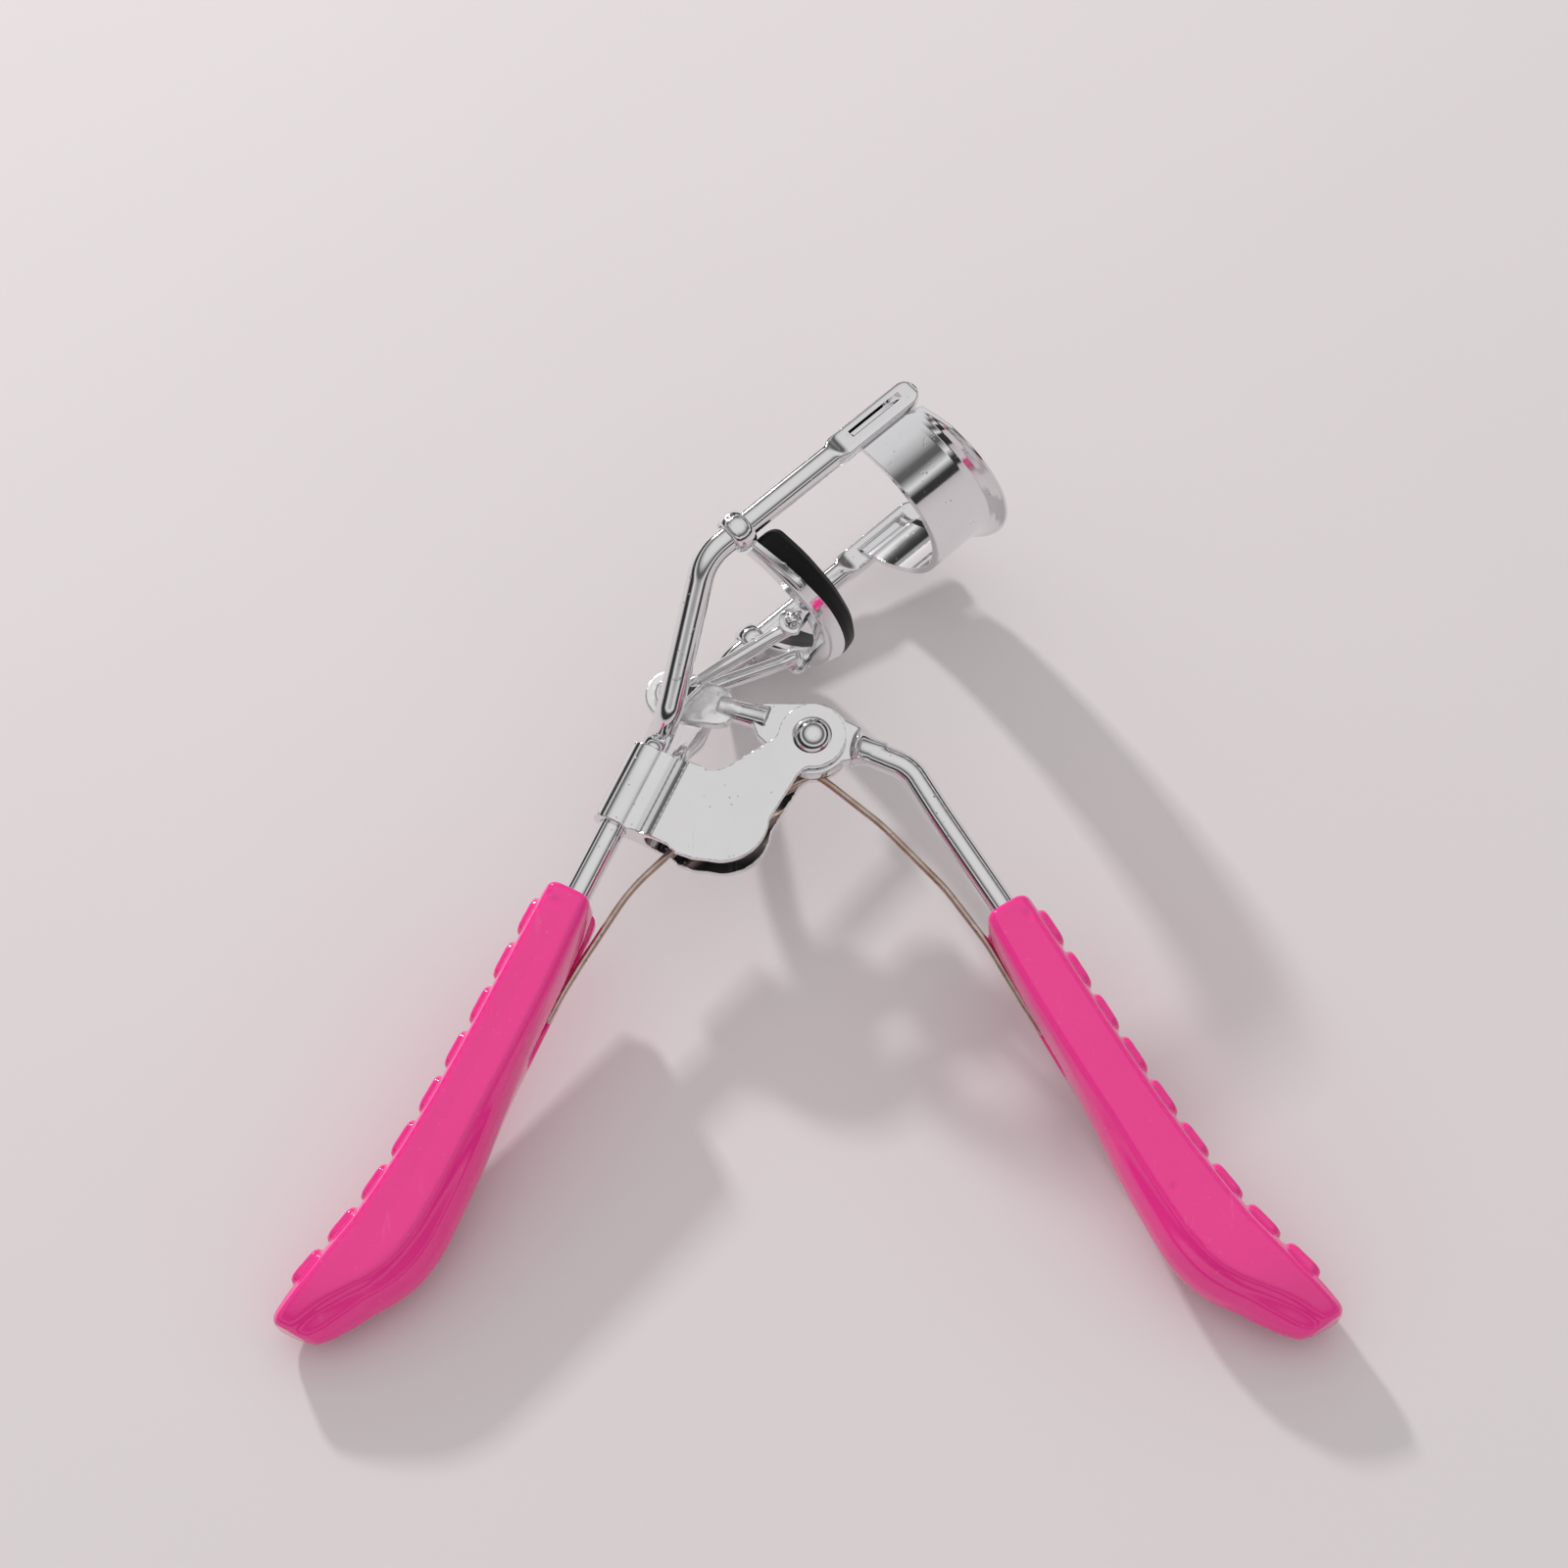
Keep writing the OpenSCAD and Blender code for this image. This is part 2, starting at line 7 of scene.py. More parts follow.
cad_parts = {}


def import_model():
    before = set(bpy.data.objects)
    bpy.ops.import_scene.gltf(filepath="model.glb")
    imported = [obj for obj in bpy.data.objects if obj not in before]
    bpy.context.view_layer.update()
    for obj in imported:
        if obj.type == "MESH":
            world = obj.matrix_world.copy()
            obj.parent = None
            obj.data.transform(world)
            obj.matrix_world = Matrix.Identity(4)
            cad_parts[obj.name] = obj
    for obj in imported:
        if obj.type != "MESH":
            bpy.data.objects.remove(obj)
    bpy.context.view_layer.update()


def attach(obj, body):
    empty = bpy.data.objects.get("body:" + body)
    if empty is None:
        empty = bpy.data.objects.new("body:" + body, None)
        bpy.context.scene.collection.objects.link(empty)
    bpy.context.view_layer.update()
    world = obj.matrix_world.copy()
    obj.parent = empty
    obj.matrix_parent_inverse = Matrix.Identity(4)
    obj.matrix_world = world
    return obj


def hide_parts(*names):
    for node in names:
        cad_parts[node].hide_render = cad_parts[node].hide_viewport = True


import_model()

# ---------------------------------------------------------------- the working plane
# Design millimetres: x right, y up the tool, w toward the near side, rails and rods laid out in the plane.
TILT, ROLL = math.radians(9.11), math.radians(-0.1)
ORIGIN = np.array([0.98, 12.26, 13.26])
RX = np.array([[1, 0, 0], [0, math.cos(TILT), -math.sin(TILT)], [0, math.sin(TILT), math.cos(TILT)]])
RY = np.array([[math.cos(ROLL), 0, math.sin(ROLL)], [0, 1, 0], [-math.sin(ROLL), 0, math.cos(ROLL)]])
RW = RY @ RX


def world(p):
    return (np.asarray(p, float) @ RW.T + ORIGIN) * 0.001


def design(p):
    return (np.asarray(p, float) * 1000 - ORIGIN) @ RW


def wvec(v):
    return Vector(np.asarray(v, float) @ RW.T)


def d2(a):
    return np.array([math.cos(math.radians(a)), math.sin(math.radians(a))])


def p3(p, w):
    return np.array([p[0], p[1], w], float)


def unit(v):
    v = np.asarray(v, float)
    return v / np.linalg.norm(v)


PIVOT = np.array([0, 0.45])
LINK = np.array([-14.6, 5.7])
JAW = np.array([-1.8, 12.1])
LEFT_AT, LEFT_TURN = np.array([-22.3, -17.5]), 27.5
RIGHT_AT, RIGHT_TURN = np.array([17.35, -20.1]), 31.6
SLEEVE = 25.5
RAIL = 41
HALF_GAP = 14
FOOT = -18.4 * d2(RAIL - 90)
RD = d2(RAIL)


def on_rail(s):
    return FOOT + s * RD


def sleeve_pt(p, s):
    return p * d2(-SLEEVE) + s * d2(90 - SLEEVE)


def left_pt(u, v):
    return LEFT_AT + u * d2(-90 - LEFT_TURN) + v * d2(180 - LEFT_TURN)


def right_pt(u, v):
    return RIGHT_AT + u * d2(-90 + RIGHT_TURN) + v * d2(RIGHT_TURN)


# frames as (origin, x, y, z) columns in design space
def frame_of(o, x, y, z):
    m = np.eye(4)
    m[:3, 0], m[:3, 1], m[:3, 2], m[:3, 3] = x, y, z, o
    return m


def put(m, p):
    p = np.asarray(p, float)
    return p @ m[:3, :3].T + m[:3, 3]


def local(m, p):
    return (np.asarray(p, float) - m[:3, 3]) @ m[:3, :3]


M_LEFT = frame_of(p3(LEFT_AT, 0), p3(d2(-90 - LEFT_TURN), 0), p3(d2(180 - LEFT_TURN), 0), [0, 0, 1])
M_RIGHT = frame_of(p3(RIGHT_AT, 0), p3(d2(-90 + RIGHT_TURN), 0), p3(d2(RIGHT_TURN), 0), [0, 0, 1])


def m_rail(s):
    return frame_of(p3(FOOT, s * HALF_GAP), p3(d2(RAIL), 0), p3(d2(RAIL + 90), 0), [0, 0, 1])


def m_bow(s, lean):
    f = on_rail(s)
    return frame_of(p3(f, 0), p3(d2(RAIL - 90 + lean), 0), [0, 0, -1], p3(RD, 0))


# sleeve frame: x across, y along the near side, z up the sleeve
M_SLEEVE = frame_of([0, 0, 0], p3(d2(-SLEEVE), 0), [0, 0, -1], p3(d2(90 - SLEEVE), 0))


# ---------------------------------------------------------------- mesh tools
def shell(rings, closed_caps=True):
    """Skin through rings of equal size, capped with fans. Returns vertices and faces in design millimetres."""
    rings = np.asarray(rings, float)
    n, m, _ = rings.shape
    v = rings.reshape(-1, 3)
    f = []
    for i in range(n - 1):
        a, b = i * m, (i + 1) * m
        for j in range(m):
            q = (j + 1) % m
            f.append((a + j, a + q, b + q, b + j))
    if closed_caps:
        c0, c1 = len(v), len(v) + 1
        v = np.vstack([v, rings[0].mean(0), rings[-1].mean(0)])
        for j in range(m):
            q = (j + 1) % m
            f.append((c0, q, j))
            f.append((c1, (n - 1) * m + j, (n - 1) * m + q))
    return v, f


def join(*parts):
    vs, fs, k = [], [], 0
    for v, f in parts:
        vs.append(v)
        fs += [tuple(i + k for i in q) for q in f]
        k += len(v)
    return np.vstack(vs), fs


def new_object(name, v, f, sharp=35):
    me = bpy.data.meshes.new(name)
    me.from_pydata([tuple(p) for p in world(v)], [], f)
    me.validate()
    bm = bmesh.new()
    bm.from_mesh(me)
    bmesh.ops.recalc_face_normals(bm, faces=bm.faces)
    bm.to_mesh(me)
    bm.free()
    o = bpy.data.objects.new(name, me)
    bpy.context.scene.collection.objects.link(o)
    smooth(o, sharp)
    return o


def smooth(o, sharp=35):
    me = o.data
    me.polygons.foreach_set("use_smooth", [True] * len(me.polygons))
    if sharp:
        me.set_sharp_from_angle(angle=math.radians(sharp))
    me.update()


def bake(o):
    """Applies the object's modifiers to its mesh."""
    dg = bpy.context.evaluated_depsgraph_get()
    me = bpy.data.meshes.new_from_object(o.evaluated_get(dg))
    o.modifiers.clear()
    old = o.data
    o.data = me
    me.name = o.name
    bpy.data.meshes.remove(old)
    return o


def relax(v, f, times, amount=0.5):
    """Plain smoothing of a closed mesh with a counter-step, so that it hardly shrinks."""
    n = len(v)
    e = set()
    for q in f:
        for i in range(len(q)):
            a, b = q[i], q[(i + 1) % len(q)]
            e.add((min(a, b), max(a, b)))
    e = np.array(sorted(e))
    cnt = np.bincount(e.ravel(), minlength=n)[:, None].astype(float)
    for k in range(times):
        for s in (amount, -amount * 1.04):
            acc = np.zeros_like(v)
            for c in range(3):
                acc[:, c] = np.bincount(e[:, 0], v[e[:, 1], c], minlength=n) + np.bincount(e[:, 1], v[e[:, 0], c], minlength=n)
            v = v + s * (acc / np.maximum(cnt, 1) - v)
    return v


def welded(name, v, f, voxel, times=4, amount=0.5, snaps=(), shape=None, cut=None, sharp=0):
    """One solid from overlapping solids: voxel remesh, relax, then draw the surface onto its exact planes and cylinders."""
    o = new_object(name, v, f, 0)
    m = o.modifiers.new("weld", "REMESH")
    m.mode = "VOXEL"
    m.voxel_size = voxel * 0.001
    m.adaptivity = 0
    m.use_smooth_shade = True
    bake(o)
    me = o.data
    co = np.empty(len(me.vertices) * 3)
    me.vertices.foreach_get("co", co)
    p = design(co.reshape(-1, 3))
    faces = [tuple(q.vertices) for q in me.polygons]
    p = relax(p, faces, times, amount)
    for fn, tol in snaps:
        dist, grad = fn(p)
        w = np.clip(1.6 - np.abs(dist) / tol, 0, 1)
        p = p - grad * (dist * w)[:, None]
    if shape is not None:
        p = shape(p)
    me.vertices.foreach_set("co", world(p).ravel())
    me.update()
    if cut is not None:
        boolean(o, cut)
    smooth(o, sharp)
    return o


def plane(axis, level, keep=None):
    def fn(p):
        g = np.zeros_like(p)
        g[:, axis] = 1
        d = p[:, axis] - level
        if keep is not None:
            d = np.where(keep(p), d, 9)
            d = np.where(np.abs(d) > 5, 9, d)
        return d, g
    return fn


def tube_surface(m, cx, cy, r, lo, hi, keep=None):
    """Exact cylinder of the radius r round the local z line through (cx, cy), between z lo and hi."""
    def fn(p):
        q = local(m, p)
        e = q[:, :2] - [cx, cy]
        rad = np.linalg.norm(e, axis=1)
        d = rad - r
        g = np.zeros_like(q)
        g[:, :2] = e / np.maximum(rad, 1e-6)[:, None]
        ok = (q[:, 2] > lo) & (q[:, 2] < hi)
        if keep is not None:
            ok &= keep(q)
        return np.where(ok, d, 9), g @ m[:3, :3].T
    return fn


def boolean(o, cutter, op="DIFFERENCE"):
    m = o.modifiers.new("cut", "BOOLEAN")
    m.operation = op
    m.solver = "EXACT"
    m.object = cutter
    bake(o)
    me = cutter.data
    bpy.data.objects.remove(cutter)
    bpy.data.meshes.remove(me)
    return o


def rounded(p, r, k):
    """Points along p with each inner corner rounded."""
    p = [np.asarray(q, float) for q in p]
    out = [p[0]]
    for i in range(1, len(p) - 1):
        u, w = unit(p[i] - p[i - 1]), unit(p[i + 1] - p[i])
        h = math.acos(min(1, float(u @ w))) / 2
        if h < 1e-4:
            out.append(p[i])
            continue
        g = r[i] * math.tan(h)
        x = -unit(np.cross(np.cross(u, w), u)) * r[i]
        c = p[i] - u * g - x
        y = u * r[i]
        out += [c + x * math.cos(2 * h * j / k) + y * math.sin(2 * h * j / k) for j in range(k + 1)]
    out.append(p[-1])
    return out


def dense(p, step):
    out = [p[0]]
    for a, b in zip(p[:-1], p[1:]):
        n = max(1, int(math.ceil(np.linalg.norm(b - a) / step)))
        out += [a + (b - a) * (i + 1) / n for i in range(n)]
    return np.array(out)


def carried(p, x0=None):
    t = [unit(p[1] - p[0])]
    for i in range(1, len(p) - 1):
        t.append(unit(unit(p[i] - p[i - 1]) + unit(p[i + 1] - p[i])))
    t.append(unit(p[-1] - p[-2]))
    x = unit(np.cross(t[0], [0.1, 0.2, 1])) if x0 is None else np.asarray(x0, float)
    out = []
    for q in t:
        x = unit(x - q * (x @ q))
        out.append((x, np.cross(q, x), q))
    return out


def length_along(p):
    return np.concatenate([[0], np.cumsum(np.linalg.norm(np.diff(p, axis=0), axis=1))])


def wire(path, radius, m=32, ends=(0.0, 0.0), x0=None, rough=0.0):
    """Round wire; radius is a number or a function of the share of length, ends are dome heights as shares of the radius."""
    p = np.asarray(path, float)
    fr = carried(p, x0)
    s = length_along(p)
    tot = s[-1]
    ang = np.arange(m) * 2 * math.pi / m
    rings = []

    def ring(i, r, shift=0.0):
        x, y, t = fr[i]
        return p[i] + t * shift + np.outer(np.cos(ang), x) * r + np.outer(np.sin(ang), y) * r

    rad = [radius(q / tot) if callable(radius) else radius for q in s]
    if ends[0]:
        for a in (88, 70, 50, 30, 14):
            rings.append(ring(0, rad[0] * math.cos(math.radians(a)), rad[0] * ends[0] * (1 - math.sin(math.radians(a)))))
        first = 1
        while first < len(p) - 2 and s[first] < rad[0] * ends[0] * 1.02:
            first += 1
    else:
        first = 0
    last = len(p)
    if ends[1]:
        while last > 2 and tot - s[last - 1] < rad[-1] * ends[1] * 1.02:
            last -= 1
    for i in range(first, last):
        rings.append(ring(i, rad[i]))
    if ends[1]:
        for a in (14, 30, 50, 70, 88):
            rings.append(ring(len(p) - 1, rad[-1] * math.cos(math.radians(a)), -rad[-1] * ends[1] * (1 - math.sin(math.radians(a)))))
    return shell(rings)


def lathe(m, profile, n=64):
    """Turns (radius, height) points round the local z line."""
    rings = []
    for r, h in profile:
        a = np.arange(n) * 2 * math.pi / n
        rings.append(put(m, np.stack([max(r, 1e-3) * np.cos(a), max(r, 1e-3) * np.sin(a), np.full(n, h)], 1)))
    return shell(rings)


def soften(q, cut=3, times=2):
    """Rounds a closed outline's corners: each edge is split, then corners are cut."""
    q = np.asarray(q, float)
    out = []
    for i in range(len(q)):
        a, b = q[i], q[(i + 1) % len(q)]
        out += [a + (b - a) * j / cut for j in range(cut)]
    q = np.array(out)
    for _ in range(times):
        nx = np.roll(q, -1, 0)
        q = np.stack([q * 0.75 + nx * 0.25, q * 0.25 + nx * 0.75], 1).reshape(-1, q.shape[1])
    return q


def even(q, step, corner, times=2):
    """Closed outline with points every step, its corners cut back by about corner."""
    q = np.asarray(q, float)
    out = []
    for i in range(len(q)):
        a, b = q[i], q[(i + 1) % len(q)]
        n = max(1, int(round(np.linalg.norm(b - a) / step)))
        if np.linalg.norm(b - a) > 4 * corner:
            e = corner / np.linalg.norm(b - a)
            out += [a, a + (b - a) * e] + [a + (b - a) * (e + (1 - 2 * e) * j / n) for j in range(1, n)] + [a + (b - a) * (1 - e)]
        else:
            out += [a + (b - a) * j / n for j in range(n)]
    q = np.array(out)
    for _ in range(times):
        nx = np.roll(q, -1, 0)
        q = np.stack([q * 0.75 + nx * 0.25, q * 0.25 + nx * 0.75], 1).reshape(-1, 2)
    return q


def inset(q, r):
    """Outline moved inward along its own corners' normals; q runs anticlockwise."""
    a, b = np.roll(q, 1, 0), np.roll(q, -1, 0)
    t = b - a
    t /= np.maximum(np.linalg.norm(t, axis=1), 1e-9)[:, None]
    n = np.stack([-t[:, 1], t[:, 0]], 1)
    return q + n * r


def anticlockwise(q):
    q = np.asarray(q, float)
    x, y = q[:, 0], q[:, 1]
    area = (x * np.roll(y, -1) - y * np.roll(x, -1)).sum()
    return q if area > 0 else q[::-1]


def plate(m, q, z0, z1, r, k=5):
    """Sheet of the outline q between two levels, with rounded edges."""
    q = anticlockwise(q)
    rings = []
    for i in range(k + 1):
        a = math.pi / 2 * i / k
        rings.append(np.column_stack([inset(q, r * (1 - math.sin(a))), np.full(len(q), z0 + r * (1 - math.cos(a)))]))
    for i in range(k + 1):
        a = math.pi / 2 * (1 - i / k)
        rings.append(np.column_stack([inset(q, r * (1 - math.sin(a))), np.full(len(q), z1 - r * (1 - math.cos(a)))]))
    rings = [put(m, g) for g in rings]
    n, c = len(rings), len(q)
    v = np.vstack(rings)
    f = []
    for i in range(n - 1):
        for j in range(c):
            g = (j + 1) % c
            f.append((i * c + j, i * c + g, (i + 1) * c + g, (i + 1) * c + j))
    f.append(tuple(range(c - 1, -1, -1)))
    f.append(tuple((n - 1) * c + j for j in range(c)))
    return v, f


EYE4 = np.eye(4)


def cubic(xs, ys, x):
    """Monotone cubic through the points, so that nothing overshoots."""
    xs, ys = np.asarray(xs, float), np.asarray(ys, float)
    h = np.diff(xs)
    d = np.diff(ys) / h
    m = np.zeros(len(xs))
    m[0], m[-1] = d[0], d[-1]
    for i in range(1, len(xs) - 1):
        if d[i - 1] * d[i] > 0:
            w1, w2 = 2 * h[i] + h[i - 1], h[i] + 2 * h[i - 1]
            m[i] = (w1 + w2) / (w1 / d[i - 1] + w2 / d[i])
    i = np.clip(np.searchsorted(xs, x) - 1, 0, len(h) - 1)
    t = (x - xs[i]) / h[i]
    return (ys[i] * (2 * t**3 - 3 * t**2 + 1) + h[i] * m[i] * (t**3 - 2 * t**2 + t)
            + ys[i + 1] * (-2 * t**3 + 3 * t**2) + h[i] * m[i + 1] * (t**3 - t**2))


# ---------------------------------------------------------------- materials
class Nodes:
    """A short way to write a node tree."""

    def __init__(self, name, base):
        self.mat = bpy.data.materials.new(name)
        self.mat.use_nodes = True
        self.t = self.mat.node_tree
        self.t.nodes.clear()
        self.out = self.t.nodes.new("ShaderNodeOutputMaterial")
        self.p = self.t.nodes.new("ShaderNodeBsdfPrincipled")
        self.link(self.p.outputs[0], self.out.inputs[0])
        self.mat.diffuse_color = (*base, 1)
        self.co = self.add("ShaderNodeTexCoord").outputs["Object"]

    def add(self, kind, **kw):
        n = self.t.nodes.new(kind)
        for k, v in kw.items():
            setattr(n, k, v)
        return n

    def link(self, a, b):
        self.t.links.new(a, b)

    def feed(self, socket, v):
        if hasattr(v, "is_linked") or isinstance(v, bpy.types.NodeSocket):
            self.link(v, socket)
        else:
            socket.default_value = v

    def scaled(self, scale, turn=(0, 0, 0), shift=(0, 0, 0)):
        n = self.add("ShaderNodeMapping")
        n.inputs["Scale"].default_value = scale
        n.inputs["Rotation"].default_value = turn
        n.inputs["Location"].default_value = shift
        self.link(self.co, n.inputs["Vector"])
        return n.outputs[0]

    def noise(self, scale, detail=4, rough=0.55, co=None, distort=0.0):
        n = self.add("ShaderNodeTexNoise")
        n.inputs["Scale"].default_value = scale
        n.inputs["Detail"].default_value = detail
        n.inputs["Roughness"].default_value = rough
        n.inputs["Distortion"].default_value = distort
        self.link(co or self.co, n.inputs["Vector"])
        return n.outputs["Fac"]

    def cells(self, scale, co=None, feature="F1", rand=1.0, out="Distance"):
        n = self.add("ShaderNodeTexVoronoi", feature=feature)
        n.inputs["Scale"].default_value = scale
        n.inputs["Randomness"].default_value = rand
        self.link(co or self.co, n.inputs["Vector"])
        return n.outputs[out]

    def ramp(self, v, stops, mode="LINEAR"):
        n = self.add("ShaderNodeValToRGB")
        n.color_ramp.interpolation = mode
        e = n.color_ramp.elements
        while len(e) > len(stops):
            e.remove(e[-1])
        while len(e) < len(stops):
            e.new(1)
        for i, (pos, c) in enumerate(stops):
            e[i].position = pos
            e[i].color = (c, c, c, 1) if not isinstance(c, (tuple, list)) else (*c, 1)
        self.link(v, n.inputs[0])
        return n.outputs[0]

    def math(self, op, a, b=0.0, clamp=False):
        n = self.add("ShaderNodeMath", operation=op, use_clamp=clamp)
        self.feed(n.inputs[0], a)
        self.feed(n.inputs[1], b)
        return n.outputs[0]

    def mix(self, fac, a, b, kind="MIX"):
        n = self.add("ShaderNodeMix", data_type="RGBA", blend_type=kind)
        self.feed(n.inputs[0], fac)
        for s, v in ((n.inputs[6], a), (n.inputs[7], b)):
            if isinstance(v, tuple):
                v = (*v, 1) if len(v) == 3 else v
            self.feed(s, v)
        return n.outputs[2]

    def near(self, point, radius, soft):
        """1 inside a ball round a point of the design, falling to 0."""
        n = self.add("ShaderNodeVectorMath", operation="DISTANCE")
        self.link(self.co, n.inputs[0])
        n.inputs[1].default_value = tuple(world(point))
        r = self.add("ShaderNodeMapRange", clamp=True)
        self.link(n.outputs["Value"], r.inputs["Value"])
        r.inputs["From Min"].default_value = radius * 0.001
        r.inputs["From Max"].default_value = (radius + soft) * 0.001
        r.inputs["To Min"].default_value = 1
        r.inputs["To Max"].default_value = 0
        return r.outputs[0]

    def bump(self, height, strength, dist, under=None):
        n = self.add("ShaderNodeBump")
        n.inputs["Strength"].default_value = strength
        n.inputs["Distance"].default_value = dist
        self.link(height, n.inputs["Height"])
        if under is not None:
            self.link(under, n.inputs["Normal"])
        return n.outputs[0]

    def set(self, **kw):
        names = {"color": "Base Color", "rough": "Roughness", "metal": "Metallic", "normal": "Normal", "spec": "Specular IOR Level",
                 "coat": "Coat Weight", "coat_rough": "Coat Roughness", "sheen": "Sheen Weight", "sub": "Subsurface Weight",
                 "sub_r": "Subsurface Radius", "sub_s": "Subsurface Scale", "aniso": "Anisotropic", "tint": "Specular Tint"}
        for k, v in kw.items():
            if isinstance(v, tuple) and len(v) == 3 and k in ("color", "tint"):
                v = (*v, 1)
            self.feed(self.p.inputs[names[k]], v)
        return self.mat


def chrome(name, base=(0.84, 0.84, 0.855), rough=0.075, waviness=0.05, pits=0.35, frost=None, grime=0.5):
    n = Nodes(name, base)
    # slow ripples left by polishing, under a fine web of rubbed lines
    wave = n.noise(170, 2, 0.4)
    lines_a = n.noise(900, 3, 0.6, n.scaled((1, 0.06, 1), (0.3, 0.2, 0.7)))
    lines_b = n.noise(1000, 3, 0.6, n.scaled((0.05, 1, 1), (0.1, 0.5, -0.4)))
    scr = n.ramp(n.math("MAXIMUM", n.ramp(lines_a, [(0.66, 0.0), (0.70, 1.0)]), n.ramp(lines_b, [(0.67, 0.0), (0.71, 1.0)])), [(0, 0.0), (1, 1.0)])
    # pits where the plating has given way, mostly in patches
    patch = n.ramp(n.noise(260, 3, 0.6), [(0.48, 0.0), (0.62, 1.0)])
    pit = n.math("MULTIPLY", n.ramp(n.cells(1500), [(0.0, 1.0), (0.12, 1.0), (0.2, 0.0)]), n.ramp(n.noise(800, 1), [(0.52, 0.0), (0.6, 1.0)]))
    pit = n.math("MULTIPLY", pit, patch)
    haze = n.ramp(n.noise(120, 5, 0.65), [(0.35, 0.0), (0.75, 1.0)])
    col = n.mix(n.math("MULTIPLY", haze, 0.35 * grime), base, tuple(c * 0.82 for c in base))
    col = n.mix(n.math("MULTIPLY", pit, pits * 1.6, True), col, (0.10, 0.085, 0.075))
    rg = n.math("ADD", rough, n.math("MULTIPLY", haze, 0.06 * grime))
    rg = n.math("ADD", rg, n.math("MULTIPLY", scr, 0.10))
    rg = n.math("ADD", rg, n.math("MULTIPLY", pit, 0.4))
    b = n.bump(wave, waviness, 0.0006)
    b = n.bump(n.math("SUBTRACT", n.math("MULTIPLY", pit, -1.0), n.math("MULTIPLY", scr, 0.25)), 0.35, 0.00004, b)
    if frost:
        mask = None
        for point, radius, soft in frost:
            k = n.near(point, radius, soft)
            mask = k if mask is None else n.math("MAXIMUM", mask, k)
        dimple = n.cells(900, feature="SMOOTH_F1")
        grain = n.noise(2600, 4, 0.7)
        speck = n.ramp(n.noise(1500, 3, 0.7), [(0.60, 0.0), (0.67, 1.0)])
        rough2 = n.math("ADD", 0.30, n.math("MULTIPLY", grain, 0.16))
        rg = n.math("ADD", n.math("MULTIPLY", rg, n.math("SUBTRACT", 1.0, mask)), n.math("MULTIPLY", rough2, mask))
        frosted = n.mix(n.math("MULTIPLY", speck, 0.6), (0.93, 0.93, 0.935), (0.50, 0.49, 0.48))
        col = n.mix(mask, col, frosted)
        h = n.math("ADD", n.math("MULTIPLY", dimple, 1.0), n.math("MULTIPLY", grain, 0.35))
        b = n.bump(n.math("MULTIPLY", h, mask), 0.55, 0.00016, b)
    return n.set(color=col, rough=rg, metal=1.0, normal=b)


def pink_plastic(name):
    base = (0.83, 0.030, 0.265)
    n = Nodes(name, base)
    cloud = n.noise(60, 3, 0.5)
    fleck = n.ramp(n.noise(1700, 2, 0.6), [(0.66, 0.0), (0.74, 1.0)])
    scuff = n.ramp(n.noise(700, 4, 0.65, n.scaled((1, 0.09, 1), (0.2, 0.1, 0.5))), [(0.62, 0.0), (0.70, 1.0)])
    area = n.ramp(n.noise(110, 3, 0.6), [(0.45, 0.0), (0.65, 1.0)])
    scuff = n.math("MULTIPLY", scuff, area)
    col = n.mix(cloud, (0.80, 0.024, 0.245), (0.87, 0.038, 0.290))
    col = n.mix(n.math("MULTIPLY", fleck, 0.12), col, (0.92, 0.30, 0.46))
    col = n.mix(n.math("MULTIPLY", scuff, 0.10), col, (0.95, 0.42, 0.55))
    rg = n.math("ADD", 0.07, n.math("MULTIPLY", n.noise(420, 4, 0.6), 0.09))
    rg = n.math("ADD", rg, n.math("MULTIPLY", scuff, 0.16))
    peel = n.noise(520, 2, 0.5)
    b = n.bump(peel, 0.10, 0.00025)
    b = n.bump(n.noise(3200, 2, 0.5), 0.05, 0.00004, b)
    b = n.bump(n.math("MULTIPLY", scuff, -1.0), 0.2, 0.00003, b)
    return n.set(color=col, rough=rg, spec=0.42, normal=b, coat=0.45, coat_rough=0.05, sub=0.02, sub_s=0.0015, sub_r=(1.0, 0.25, 0.4))


def black_rubber(name):
    base = (0.006, 0.006, 0.006)
    n = Nodes(name, base)
    dust = n.ramp(n.noise(1900, 3, 0.7), [(0.64, 0.0), (0.72, 1.0)])
    mottled = n.noise(240, 4, 0.6)
    nick = n.math("MULTIPLY", n.ramp(n.cells(620), [(0.0, 1.0), (0.09, 1.0), (0.16, 0.0)]), n.ramp(n.noise(330, 1), [(0.55, 0.0), (0.62, 1.0)]))
    col = n.mix(mottled, (0.004, 0.004, 0.0045), (0.010, 0.010, 0.010))
    col = n.mix(n.math("MULTIPLY", dust, 0.12), col, (0.16, 0.15, 0.15))
    rg = n.math("ADD", 0.36, n.math("MULTIPLY", mottled, 0.18))
    b = n.bump(n.noise(1300, 3, 0.6), 0.16, 0.00007)
    b = n.bump(n.math("MULTIPLY", nick, -1.0), 0.6, 0.00012, b)
    return n.set(color=col, rough=rg, spec=0.17, normal=b)


def drawn_wire(name):
    base = (0.74, 0.61, 0.53)
    n = Nodes(name, base)
    tarnish = n.ramp(n.noise(420, 4, 0.6), [(0.38, 0.0), (0.68, 1.0)])
    streak = n.noise(1400, 3, 0.6, n.scaled((1, 0.12, 1), (0, 0, 0.6)))
    col = n.mix(tarnish, (0.66, 0.56, 0.50), (0.47, 0.33, 0.25))
    col = n.mix(n.ramp(n.noise(2100, 2), [(0.66, 0.0), (0.72, 0.7)]), col, (0.20, 0.13, 0.10))
    rg = n.math("ADD", 0.20, n.math("MULTIPLY", streak, 0.16))
    b = n.bump(streak, 0.25, 0.00003)
    return n.set(color=col, rough=rg, metal=1.0, normal=b)


